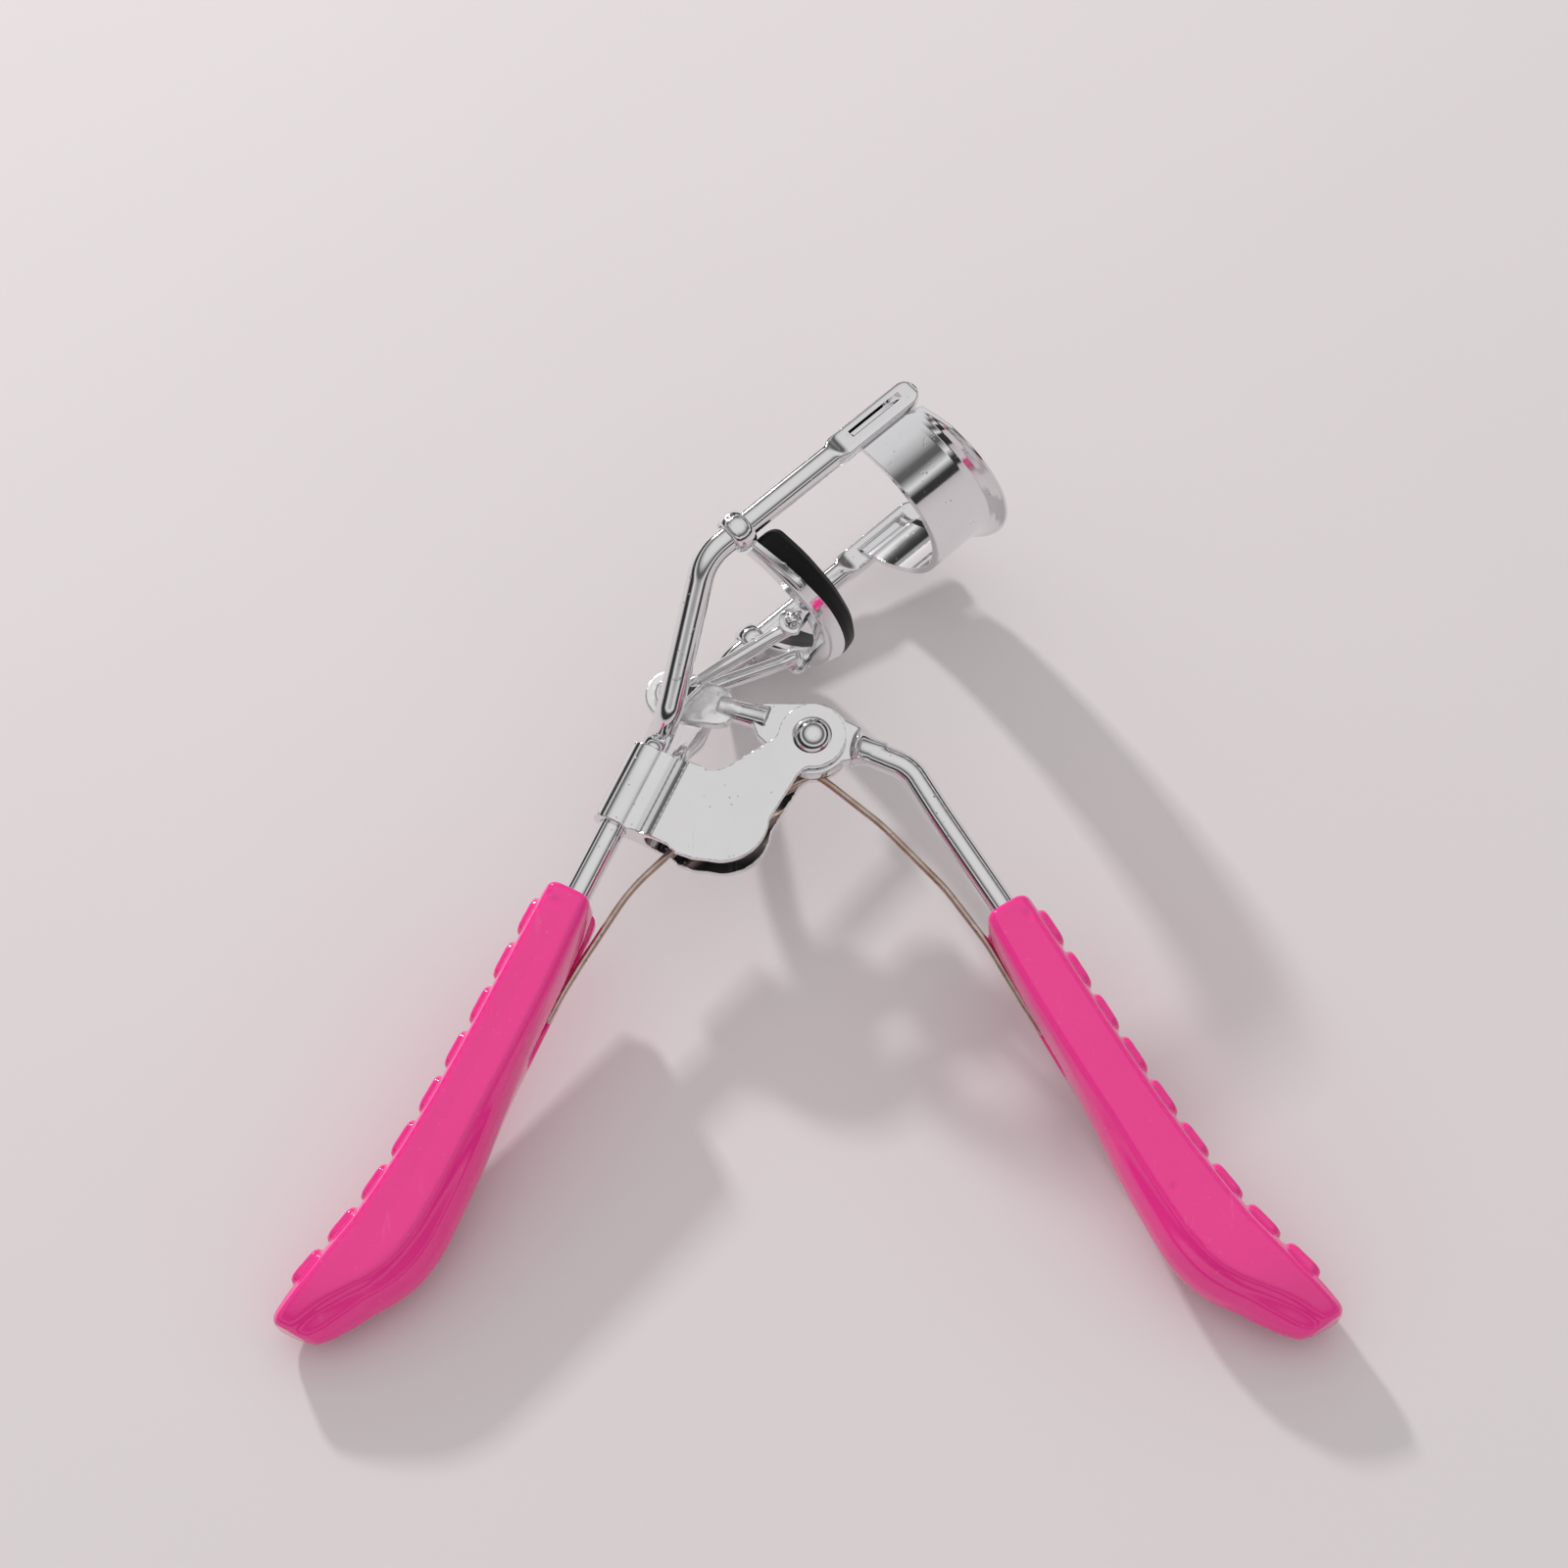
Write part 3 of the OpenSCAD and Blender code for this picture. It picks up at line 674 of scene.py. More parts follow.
M_CHROME = chrome("chrome_plating")
M_SHEET = chrome("chrome_sheet", rough=0.085, waviness=0.09, pits=0.3, grime=0.7)
M_LEVER = chrome("chrome_forging", rough=0.09, waviness=0.12, pits=0.45, grime=0.7,
                 frost=[([-14.7, 5.95, 0.6], 2.2, 1.0), ([-11.6, 5.0, 0.6], 2.3, 1.0), ([-9.6, 4.6, 0.6], 1.7, 0.9)])
M_CRES = chrome("chrome_crescent", base=(0.82, 0.82, 0.84), rough=0.06, waviness=0.03, pits=0.3, grime=0.5)
M_PINK = pink_plastic("pink_moulding")
M_BLACK = black_rubber("black_rubber_pad")
M_WIRE = drawn_wire("drawn_spring_wire")


def finish_piece(o, mat, body, slot, *nodes):
    o.data.materials.clear()
    o.data.materials.append(mat)
    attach(o, body)
    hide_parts(*nodes)
    return o


# ---------------------------------------------------------------- handles
STATIONS = np.array([
    [0, 0.55, 4.2, 0, 0.3, 0.9], [0.25, 0.2, 4.5, 0.05, 0.48, 0.96], [0.7, 0, 4.65, 0.1, 0.57, 1],
    [4, -0.3, 4.6, 0.3, 0.6, 1], [9, -0.7, 4.5, 0.4, 0.6, 1], [14, -0.95, 4.35, 0.5, 0.6, 1],
    [19, -1.1, 4.25, 0.7, 0.6, 1], [24, -1.2, 4.2, 1.2, 0.6, 1], [29, -1.4, 4.3, 1.7, 0.6, 1],
    [33, -1.5, 4.5, 2.0, 0.66, 1], [36.5, -1.5, 4.75, 2.25, 0.7, 1], [39.5, -1.2, 5.05, 2.5, 0.8, 1],
    [42, -0.6, 5.5, 2.6, 0.85, 0.99], [44.3, 0.5, 5.95, 2.7, 0.9, 0.96], [46.5, 2.1, 6.4, 2.9, 0.9, 0.89],
    [48.4, 3.45, 6.9, 3.2, 0.8, 0.79], [50, 4.4, 7.2, 3.1, 0.7, 0.68], [51.2, 5.0, 7.38, 2.7, 0.55, 0.57],
    [51.8, 5.35, 7.3, 2.3, 0.35, 0.48], [52, 5.65, 7.1, 1.9, 0.2, 0.40]])


def handle_ring(s):
    u, a, b, ib, od, hh = s
    h = 4.5 * hh
    k = min(0.8, (b - a) / 4)
    q = [(a + k, h), (b - k, h), (b - k * 0.3, h - k * 0.3), (b + od * 0.12, h - k), (b + od * 0.55, h * 0.66),
         (b + od * 0.88, h * 0.33), (b + od, 0), (b + od * 0.88, -h * 0.33), (b + od * 0.55, -h * 0.66), (b + od * 0.12, k - h),
         (b - k * 0.3, k * 0.3 - h), (b - k, -h), (a + k, -h), (a + k * 0.3, k * 0.3 - h), (a - ib * 0.12, k - h),
         (a - ib * 0.55, -h * 0.66), (a - ib * 0.88, -h * 0.33), (a - ib, 0), (a - ib * 0.88, h * 0.33), (a - ib * 0.55, h * 0.66),
         (a - ib * 0.12, h - k), (a + k * 0.3, h - k * 0.3)]
    return [(u, y, z) for y, z in q]


def outer_edge(u):
    return np.interp(u, STATIONS[:, 0], STATIONS[:, 2] + STATIONS[:, 4])


def grip_pad(u, length, proud=0.5, half=2.9):
    """A raised pad: a pillow with a rounded outline, sunk into the handle's outer side."""
    e0, e1 = outer_edge(u), outer_edge(u + length)
    a = math.atan2(e1 - e0, length)
    t, nrm = np.array([math.cos(a), math.sin(a)]), np.array([-math.sin(a), math.cos(a)])
    o = np.array([u, e0])
    q = []
    r = 1.15
    for cx, cz, a0 in ((length - r, half - r, 0), (r, half - r, 90), (r, r - half, 180), (length - r, r - half, 270)):
        for j in range(9):
            g = math.radians(a0 + 90 * j / 8)
            q.append((cx + r * math.cos(g), cz + r * math.sin(g)))
    q = np.array(q)
    c = q.mean(0)
    rings = []
    for share, lift in ((1.0, -1.3), (1.0, 0.02), (0.985, proud * 0.35), (0.95, proud * 0.68), (0.885, proud * 0.9), (0.78, proud), (0.4, proud)):
        g = c + (q - c) * [1 - (1 - share) * 1.1, share]
        rings.append([(*(o + t * x + nrm * lift), z) for x, z in g])
    return shell(rings)


def handle(name, m, mirror, dents, body, node):
    us = np.unique(np.concatenate([np.linspace(0, 0.7, 5), np.linspace(0.7, 40, 66), np.linspace(40, 52, 34)]))
    st = np.column_stack([us] + [cubic(STATIONS[:, 0], STATIONS[:, c], us) for c in range(1, 6)])
    rings = []
    for s in st:
        rings.append(soften(handle_ring(s), 2, 2))
    body_shell = shell(rings)
    v, f = body_shell
    o = new_object(name + "_body", put(m, v), f, 0)
    # groove for the spring leg and the scoop at its mouth
    g = np.array([[-1, -3], [-1, 0.95], [6, 0.3], [12, -0.3], [17.5, -1.5], [20, -3]])
    gv, gf = shell([np.column_stack([g, np.full(len(g), z)]) for z in (-1.9, 0.1)])
    boolean(o, new_object("cut", put(m, gv), gf, 0))
    sm = frame_of(put(m, [-1, -0.2, -1.0]), m[:3, 1], m[:3, 2], m[:3, 0])
    boolean(o, new_object("cut2", *lathe(sm, [(1.3, 0), (1.3, 3.6), (1.1, 4.3), (0.5, 4.7)], 32), 0))
    me = o.data
    co = np.empty(len(me.vertices) * 3)
    me.vertices.foreach_get("co", co)
    parts = [(design(co.reshape(-1, 3)), [tuple(q.vertices) for q in me.polygons])]
    bpy.data.objects.remove(o)
    pitch = 5.2
    for i in range(9):
        pv, pf = grip_pad(1.9 + i * pitch, pitch - 0.9)
        parts.append((put(m, pv), pf))
    v, f = join(*parts)

    def shape(p):
        q = local(m, p)
        for (u, w, z), r, depth in dents:
            e = (q - [u, w, z]) / r
            k = np.exp(-(e**2).sum(1) * 1.6)
            q[:, 2] -= depth * k * np.sign(z)
        # the wall sinks a very little between its ends, as a thick moulding does
        k = np.clip(1 - np.abs(q[:, 1] - 1.8) / 2.2, 0, 1) ** 2 * np.clip((q[:, 0] - 1) / 4, 0, 1) * np.clip((44 - q[:, 0]) / 6, 0, 1)
        q[:, 2] -= 0.05 * k * np.sign(q[:, 2]) * (np.abs(q[:, 2]) > 4)
        return put(m, q)

    snaps = [(plane(2, 4.5, lambda p: (local(m, p)[:, 0] > 1) & (local(m, p)[:, 0] < 40)), 0.06),
             (plane(2, -4.5, lambda p: (local(m, p)[:, 0] > 1) & (local(m, p)[:, 0] < 40)), 0.06)]
    o = welded(name, v, f, 0.17, 5, 0.5, snaps, shape)
    return finish_piece(o, M_PINK, body, "pink_plastic", node)


handle("left_handle_moulding", M_LEFT, True,
       [((2.1, 3.0, 4.5), (0.5, 0.9, 1.5), 0.16), ((1.5, 3.9, 4.5), (0.35, 0.35, 1.5), 0.12), ((27, 2.2, 4.5), (0.3, 0.9, 1.5), 0.05)],
       "frame", "left_handle")
handle("right_handle_moulding", M_RIGHT, False,
       [((2.4, 3.6, 4.5), (0.6, 0.45, 1.5), 0.16), ((33.5, 0.2, 4.5), (0.45, 0.4, 1.5), 0.16), ((18, 1.2, 4.5), (0.9, 0.3, 1.5), 0.05)],
       "lever", "right_handle")


# ---------------------------------------------------------------- rods and rails
def smoothstep(x, a, b):
    t = min(1, max(0, (x - a) / (b - a)))
    return t * t * (3 - 2 * t)


def rail_rod(name, path, radius_fn, s, node, extra=None):
    """Round rod that ends as a rail: pressed flat, rounded at its tip and slotted."""
    p = dense(path, 0.35)
    tip = 30.9
    base = p3(FOOT, s * HALF_GAP)
    tau = (p[-1] - base) @ p3(RD, 0)
    add = [base + p3(RD, 0) * q for q in np.concatenate([np.linspace(tau + 0.3, 18.6, 36), np.linspace(18.8, 21.6, 24), np.linspace(21.8, 29.3, 26),
                                                         29.4 + 1.5 * np.sin(np.radians(np.linspace(6, 89, 16)))])]
    p = np.vstack([p, add])
    # carry the frame from the tip, so that the flat lies square to the plane
    fr = carried(p[::-1], p3(d2(RAIL + 90), 0))[::-1]
    along = length_along(p)
    n = 56
    ang = (np.arange(n) + 0.5) * 2 * math.pi / n
    rings = []
    for i, q in enumerate(p):
        x, y, t = fr[i]
        y = np.cross(x, t)
        tl = (q - base) @ p3(RD, 0) if i >= len(p) - len(add) else 0
        k = smoothstep(tl, 19.0, 21.1)
        r = radius_fn(along[i])
        a = r + (1.47 - r) * smoothstep(tl, 19.4, 20.9)
        b = r + (0.8 - r) * k
        e = 2 + 4.5 * smoothstep(tl, 19.2, 20.6)
        if tl > 29.4:
            a = 1.47 * math.sqrt(max(0.0004, 1 - ((tl - 29.4) / 1.5) ** 2))
            b = 0.8 * (1 - 0.25 * smoothstep(tl, 30.3, 30.9))
        c, sn = np.cos(ang), np.sin(ang)
        rings.append(q + np.outer(np.sign(c) * np.abs(c) ** (2 / e) * a, x) + np.outer(np.sign(sn) * np.abs(sn) ** (2 / e) * b, y))
    v, f = shell(rings)
    o = new_object(name, v, f, 0)
    m = m_rail(s)
    q = [(22.2, -0.25), (29.0, -0.25), (29.0, 0.59), (22.2, 0.59)]
    q = even(q, 0.4, 0.16, 2)
    cv, cf = shell([np.column_stack([q, np.full(len(q), z)]) for z in (-2, 2)])
    boolean(o, new_object("slotcut", put(m, cv), cf, 0))
    smooth(o, 38)
    return finish_piece(o, M_CHROME, "frame", "polished_metal", node)


LEFT_END = left_pt(27, 2.43 - 27 * math.tan(math.radians(2)))
path = rounded([p3(LEFT_END, 0), p3(sleeve_pt(-15, -8.4), 0), p3(sleeve_pt(-15, -5.9), 0), [-14.7, 2.75, 3.5],
                p3(on_rail(2.3), HALF_GAP), p3(on_rail(5.2), HALF_GAP)], [0, 3, 2.6, 4, 5, 0], 14)
tot_to_sleeve = np.linalg.norm(sleeve_pt(-15, -6.5) - LEFT_END)
rail_rod("frame_rod_bar", path, lambda a: 1.45 - 0.05 * smoothstep(a, tot_to_sleeve, tot_to_sleeve + 6), 1, "frame_rod")

path = rounded([p3(sleeve_pt(-12.15, -15.8), 0), p3(sleeve_pt(-12.15, -6.6), 0), [-12.9, 3.0, -4.7],
                p3(on_rail(2.3), -HALF_GAP), p3(on_rail(5.2), -HALF_GAP)], [0, 2.6, 6, 5, 0], 14)
rail_rod("far_rail_bar", path, lambda a: 0.9 + 0.49 * smoothstep(a, 8.2, 15.5), -1, "far_rail")

# the pinched ear above the sleeve
ev, ef = plate(frame_of(put(M_SLEEVE, [-14.6, 0, -6.7]), M_SLEEVE[:3, 0], M_SLEEVE[:3, 1], M_SLEEVE[:3, 2]),
               even([(-0.75, -1.9), (0.75, -1.9), (0.75, 0), (-0.75, 0)], 0.3, 0.15, 2), 0.05, 1.85, 0.25)
o = new_object("frame_rod_ear", ev, ef, 40)
finish_piece(o, M_CHROME, "frame", "polished_metal", "frame_rod")


# ---------------------------------------------------------------- hinge bracket
def section(side):
    """The bracket's fold, on one side of the sleeve's plane: local x across, y toward the far side."""
    s = side
    g = 1.6
    return [(-14.4, s * 2.0), (-13.3, s * 1.75), (-12.5, s * 1.72), (-11.8, s * 1.82), (-11.1, s * 2.12), (-10.4, s * 2.36), (-9.6, s * 2.4),
            (-8.6, s * 2.4), (-8.6, s * g), (-9.7, s * g), (-10.4, s * 1.5), (-10.9, s * 1.25), (-11.3, s * 0.7), (-11.4, s * 0.0), (-14.2, 0)]


zz = (-16.5, -7.4)
ring_out = [(-15 + 2.28 * math.cos(a), 2.28 * math.sin(a)) for a in np.linspace(0, 2 * math.pi, 97)[:-1]]
parts = [plate(M_SLEEVE, np.array(ring_out), zz[0], zz[1], 0.16)]
for s in (-1, 1):
    parts.append(plate(M_SLEEVE, even(section(s), 0.25, 0.08, 1), zz[0], zz[1], 0.1))
leaf = [(-12.3, -12.8), (-14.1, -12.1), (-14.8, -11.3), tuple(sleeve_pt(-9, -16.3)), tuple(sleeve_pt(-9, -9.2))]
leaf += [tuple(np.array([-10.3, 0.25]) + 3.5 * d2(a)) for a in np.linspace(-112, -56, 12)]
leaf += [(-4.6, -0.25), (-3.8, 0.3)]
leaf += [tuple(PIVOT + 3.5 * d2(a)) for a in np.linspace(174, -98, 60)]
leaf += [(-0.95, -3.3), (-1.5, -3.8)]
leaf += [tuple(np.array([-9.3, -8.3]) + 4.9 * d2(a)) for a in np.linspace(-4, -105, 26)]
leaf = even(leaf, 0.3, 0.12, 2)
for z in (1.6, -2.4):
    parts.append(plate(EYE4, leaf, z, z + 0.8, 0.12))
v, f = join(*parts)
snaps = [(plane(2, z), 0.06) for z in (2.4, 1.6, -1.6, -2.4)]
snaps.append((tube_surface(M_SLEEVE, -15, 0, 2.28, zz[0] + 0.4, zz[1] - 0.4, lambda q: q[:, 0] < -14.9), 0.07))
# the bore is left open at both ends
bore = new_object("bore", *lathe(frame_of(put(M_SLEEVE, [-15, 0, zz[0] - 1]), M_SLEEVE[:3, 0], M_SLEEVE[:3, 1], M_SLEEVE[:3, 2]),
                                 [(1.49, 0), (1.49, 11.1)], 64), 0)
o = welded("hinge_bracket_sheet", v, f, 0.1, 4, 0.5, snaps, cut=bore, sharp=45)
finish_piece(o, M_SHEET, "frame", "polished_metal", "hinge_bracket")

# rivet, its head worked to a low dome with a slight flat and a set edge
def dome_profile(d, h, start, up=1):
    r = (d * d / 4 + h * h) / (2 * h)
    out = []
    for i in range(15):
        a = math.asin(d / 2 / r) * (1 - i / 14)
        out.append((r * math.sin(a), start + up * (h - r + r * math.cos(a))))
    return out


reach = 2.4
m = frame_of(p3(PIVOT, 0), [1, 0, 0], [0, 1, 0], [0, 0, 1])
prof = dome_profile(4.1, 0.8, -reach, -1)[::-1] + [(2.05, -reach + 0.02), (1.3, -reach + 0.02), (1.3, reach - 0.02), (2.0, reach - 0.02)] + dome_profile(4.1, 1.3, reach)
o = new_object("main_rivet_turned", *lathe(m, prof, 72), 40)
finish_piece(o, M_CHROME, "frame", "polished_metal", "main_rivet")


# ---------------------------------------------------------------- lever
A, B = p3(right_pt(-13.5, 2.73), 0), p3(right_pt(27, 2.73), 0)
neck = rounded([[5.4, -0.5, 0.1], p3(right_pt(-18.8, 2.9), 0), p3(right_pt(-12.6, 2.73), 0), B], [0, 4.6, 8, 0], 16)
rod = wire(dense(neck, 0.4), 1.39, 48, (0, 0.4))
parts = [rod]


def cone(a, b, r0, r1, n=40, dome0=0.0):
    a, b = np.asarray(a, float), np.asarray(b, float)
    pts = dense([a, b], 0.25)
    return wire(pts, lambda t: r0 + (r1 - r0) * (1 - (1 - t) ** 2.2), n, (dome0, 0))


parts.append(cone([3.9, -0.1, 0.3], [7.4, -1.05, 0], 2.25, 1.36, 40, 0.35))
eye = [tuple(PIVOT + 4.0 * d2(a)) for a in np.linspace(0, 360, 97)[:-1]]
parts.append(plate(EYE4, eye, -0.05, 1.45, 0.2))
tab = [(0, 4.4), (-2.8, 4.5), (-5.0, 4.6), (-5.9, 4.1), (-6.2, 2.3), (-5.7, 0.9), (-3.9, -0.9), (0, -2.5), (5, -1.9), (5, 1.6)]
parts.append(plate(EYE4, even(tab, 0.4, 0.3, 2), -0.05, 1.45, 0.2))
parts.append(cone([-4.6, 2.9, 0.7], [-9.6, 4.66, 0.28], 1.4, 1.15, 32))
pad = [(-9.4, 6.75), (-8.5, 6.15), (-8.1, 5.4), (-8.3, 3.2), (-8.9, 2.55), (-9.9, 2.35)]
pad += [tuple(np.array([-14.7, 5.95]) + 2.8 * d2(a)) for a in np.linspace(259, 76, 40)]
parts.append(plate(EYE4, even(pad, 0.3, 0.25, 2), -0.5, 1.0, 0.28))
v, f = join(*parts)


def lever_shape(p):
    # hammer marks: shallow facets on the paddle's two faces
    q = p.copy()
    rng = np.random.default_rng(7)
    on = (p[:, 0] < -8.2) & (np.abs(p[:, 2] - 0.25) > 0.5)
    for _ in range(46):
        c = np.array([rng.uniform(-17.2, -8.4), rng.uniform(2.6, 8.4)])
        r = rng.uniform(0.45, 0.9)
        k = np.exp(-(((p[:, :2] - c) / r) ** 2).sum(1))
        q[:, 2] -= np.where(on, 0.045 * k * np.sign(p[:, 2] - 0.25), 0)
    return q


M_ROD = frame_of(p3(right_pt(-12.6, 2.73), 0), [0, 0, 1], p3(d2(RIGHT_TURN), 0) * -1, p3(d2(-90 + RIGHT_TURN), 0))
snaps = [(plane(2, 1.45, lambda p: (p[:, 0] > -6.2) & (p[:, 0] < 3.4)), 0.06), (plane(2, -0.05, lambda p: (p[:, 0] > -6.2) & (p[:, 0] < 3.4)), 0.06),
         (tube_surface(M_ROD, 0, 0, 1.39, 0.6, 39), 0.1)]
o = welded("lever_forging", v, f, 0.115, 9, 0.5, snaps, lever_shape)
finish_piece(o, M_LEVER, "lever", "lever_metal", "lever")

# ---------------------------------------------------------------- spring
COIL, LOW, HIGH = 2.6, -1.2, -0.45
loop = [p3(PIVOT + COIL * d2(-62 + 290 * i / 110), LOW + (HIGH - LOW) * i / 110) for i in range(111)]
leg = rounded([p3(left_pt(12.5, -1.05), LOW), p3(left_pt(9, -1.0), LOW), [-23.7, -22.7, LOW], [-18.9, -14.9, LOW], [-12.8, -9.0, LOW],
               p3(PIVOT + COIL * d2(-62) - 7 * d2(28), LOW), p3(PIVOT + COIL * d2(-62) - 0.5 * d2(28), LOW)], [0, 20, 20, 20, 20, 20, 0], 10)
o = new_object("spring_loop_wire", *wire(dense(leg + loop, 0.3), 0.375, 24, (0.6, 0.5)), 0)
finish_piece(o, M_WIRE, "frame", "spring_steel", "spring_coil")
leg = rounded([p3(PIVOT + COIL * d2(-132), HIGH), [1.55, -3.85, HIGH], [7.0, -8.55, HIGH], [13.45, -15.65, HIGH], p3(right_pt(1.5, -0.6), HIGH),
               p3(right_pt(9, -1.0), HIGH), p3(right_pt(12.5, -1.05), HIGH)], [0, 20, 20, 20, 20, 20, 0], 10)
o = new_object("spring_lever_wire", *wire(dense(leg, 0.3), 0.375, 24, (0.5, 0.6)), 0)
finish_piece(o, M_WIRE, "lever", "spring_steel", "spring_lever_leg")


# ---------------------------------------------------------------- push rods
def push_rod(name, s, node):
    zi, zo = (1.5, 3.75) if s > 0 else (-1.0, -3.75)
    along = unit(np.append(JAW - LINK, 0))
    n = d2(116)
    parts = [lathe(frame_of(p3(LINK, zi - 0.45), [1, 0, 0], [0, 1, 0], [0, 0, 1]),
                   [(1.55, 0), (1.74, 0.06), (1.8, 0.2), (1.8, 0.7), (1.74, 0.84), (1.55, 0.9)], 48)]
    a2 = along[:2]
    tongue = [LINK + 1.8 * n * 0.97, LINK + 3.4 * a2 + 0.62 * n, LINK + 3.4 * a2 - 0.62 * n, LINK - 1.8 * n * 0.97]
    parts.append(plate(EYE4, even([tuple(q) for q in tongue], 0.3, 0.1, 1), zi - 0.42, zi + 0.42, 0.15))
    pts = rounded([p3(LINK, zi) + 1.5 * along, p3(LINK, zi + s * 0.2) + 3.4 * along, p3(JAW, zo) - 1.8 * along, p3(JAW, zo) + 0.3 * along],
                  [0, 6, 4, 0], 10)
    parts.append(wire(dense(pts, 0.25), lambda t: np.interp(t, [0, 0.1, 0.35, 0.9, 1], [0.4, 0.6, 0.8, 0.8, 0.72]), 36, (0, 0.8)))
    mm = frame_of(p3(JAW, 0), [1, 0, 0], [0, s, 0], [0, 0, s])
    prof = [(0.66, 3.7), (0.65, 5.42), (0.95, 5.42), (0.97, 5.55)] + [(q, h) for q, h in dome_profile(1.9, 0.58, 5.52)]
    parts.append(lathe(mm, prof, 40))
    v, f = join(*parts)

    def shape(p):
        # the end is peened over by hand, so its knob is lopsided
        k = np.clip((np.abs(p[:, 2]) - 5.0) / 0.5, 0, 1) * (np.linalg.norm(p[:, :2] - JAW, axis=1) < 1.6)
        rng = np.random.default_rng(3 if s > 0 else 5)
        w = sum(a * np.sin(p @ b + c) for a, b, c in zip(rng.uniform(0.02, 0.045, 5), rng.normal(0, 3.2, (5, 3)), rng.uniform(0, 6, 5)))
        g = p - p3(JAW, 5.4 * s)
        g /= np.maximum(np.linalg.norm(g, axis=1), 1e-3)[:, None]
        return p + g * (w * k)[:, None]

    o = welded(name, v, f, 0.075, 4, 0.5, [], shape)
    return finish_piece(o, M_CHROME, "push_link", "polished_metal", node)


push_rod("near_push_rod_wire", 1, "near_push_rod")
push_rod("far_push_rod_wire", -1, "far_push_rod")
m = frame_of(p3(LINK, 0), [1, 0, 0], [0, 1, 0], [0, 0, 1])
prof = dome_profile(2.7, 0.6, -1.46, -1)[::-1] + [(1.3, -1.44), (0.85, -1.44), (0.85, 1.94), (1.3, 1.94)] + dome_profile(2.7, 0.6, 1.96)
o = new_object("link_rivet_turned", *lathe(m, prof, 56), 40)
finish_piece(o, M_CHROME, "push_link", "polished_metal", "link_rivet")


# ---------------------------------------------------------------- crescent, channel and pad
def bow_pt(b, a):
    a = math.radians(a)
    return np.array([b[2] + b[0] * math.cos(a), b[1] * math.sin(a)])


def bow_out(b, a):
    t = unit(bow_pt(b, a + 0.5) - bow_pt(b, a - 0.5))
    return np.array([t[1], -t[0]])


def wall_share(a):
    """How much of its full height the channel's wall keeps at the angle a round the bow."""
    return float(np.interp(abs(a), [0, 25, 50, 66.5, 75], [1.0, 0.93, 0.66, 0.46, 0.44]))


def channel_warp(up, a):
    return np.where(up > 0.4, 0.4 + (up - 0.4) * wall_share(a), up)


def pad_warp(up, a):
    h, top = 1.15, 1.15 + 2.5
    low = 0.4 + 1.3 * wall_share(a) - 0.57
    return np.where(up < h, up * low / h, low + (up - h) * (top - low) / (top - h))


def round_bow(m, q, b, half, n, grow=((0, 0),), core=9, fade=((0, 1),), tips=0.0, mid=(0, 0), warp=None):
    """Carries the outline q, of (outward, along the rails) points, round the bow; tips > 0 rounds the two ends off."""
    q = np.asarray(q, float)
    gx, gy = np.array(grow, float).T
    fx, fy = np.array(fade, float).T
    rings = []
    ang = [half * (2 * i / n - 1) for i in range(n + 1)]
    size = [1.0] * len(ang)
    if tips:
        reach = math.degrees(tips / b[0])
        ang = [a for a in ang if abs(a) <= half - reach]
        size = [1.0] * len(ang)
        ends = [(half - reach * (1 - math.sin(math.radians(g))), math.cos(math.radians(g))) for g in (15, 30, 45, 58, 70, 80, 86)]
        ang = [-a for a, _ in ends[::-1]] + ang + [a for a, _ in ends]
        size = [k for _, k in ends[::-1]] + size + [k for _, k in ends]
    mid = np.array(mid, float)
    for a, sz in zip(ang, size):
        p, o = bow_pt(b, a), bow_out(b, a)
        k = np.interp(abs(a) / half, fx, fy)
        out = np.where(q[:, 0] > core, core + (q[:, 0] - core) * k, q[:, 0])
        up = q[:, 1] + np.interp(q[:, 1], gx, gy) * math.cos(math.radians(a))
        up = warp(up, a) if warp else up
        sz = 0.35 + 0.65 * sz if tips else 1
        out = mid[0] + (out - mid[0]) * sz
        um = mid[1] + np.interp(mid[1], gx, gy) * math.cos(math.radians(a))
        um = float(warp(np.array([um]), a)[0]) if warp else um
        up = um + (up - um) * (sz if tips else 1)
        rings.append(np.column_stack([p[0] + out * o[0], p[1] + out * o[1], up]))
    v, f = shell(rings)
    return put(m, v), f


t, fl = 0.4, 1.3
q = [(-t, 0), (t, 0), (t, 5.1), (t + 0.12 * fl, 5.8), (t + 0.4 * fl, 6.4), (t + 0.72 * fl, 6.8), (t + fl, 7.0),
     (t + fl + 0.05, 7.2), (t + fl, 7.4), (t + 0.6 * fl, 7.35), (0.3 * fl, 7.05), (-t + 0.15 * fl, 6.3), (-t, 5.4)]
q = even(q, 0.3, 0.14, 2)
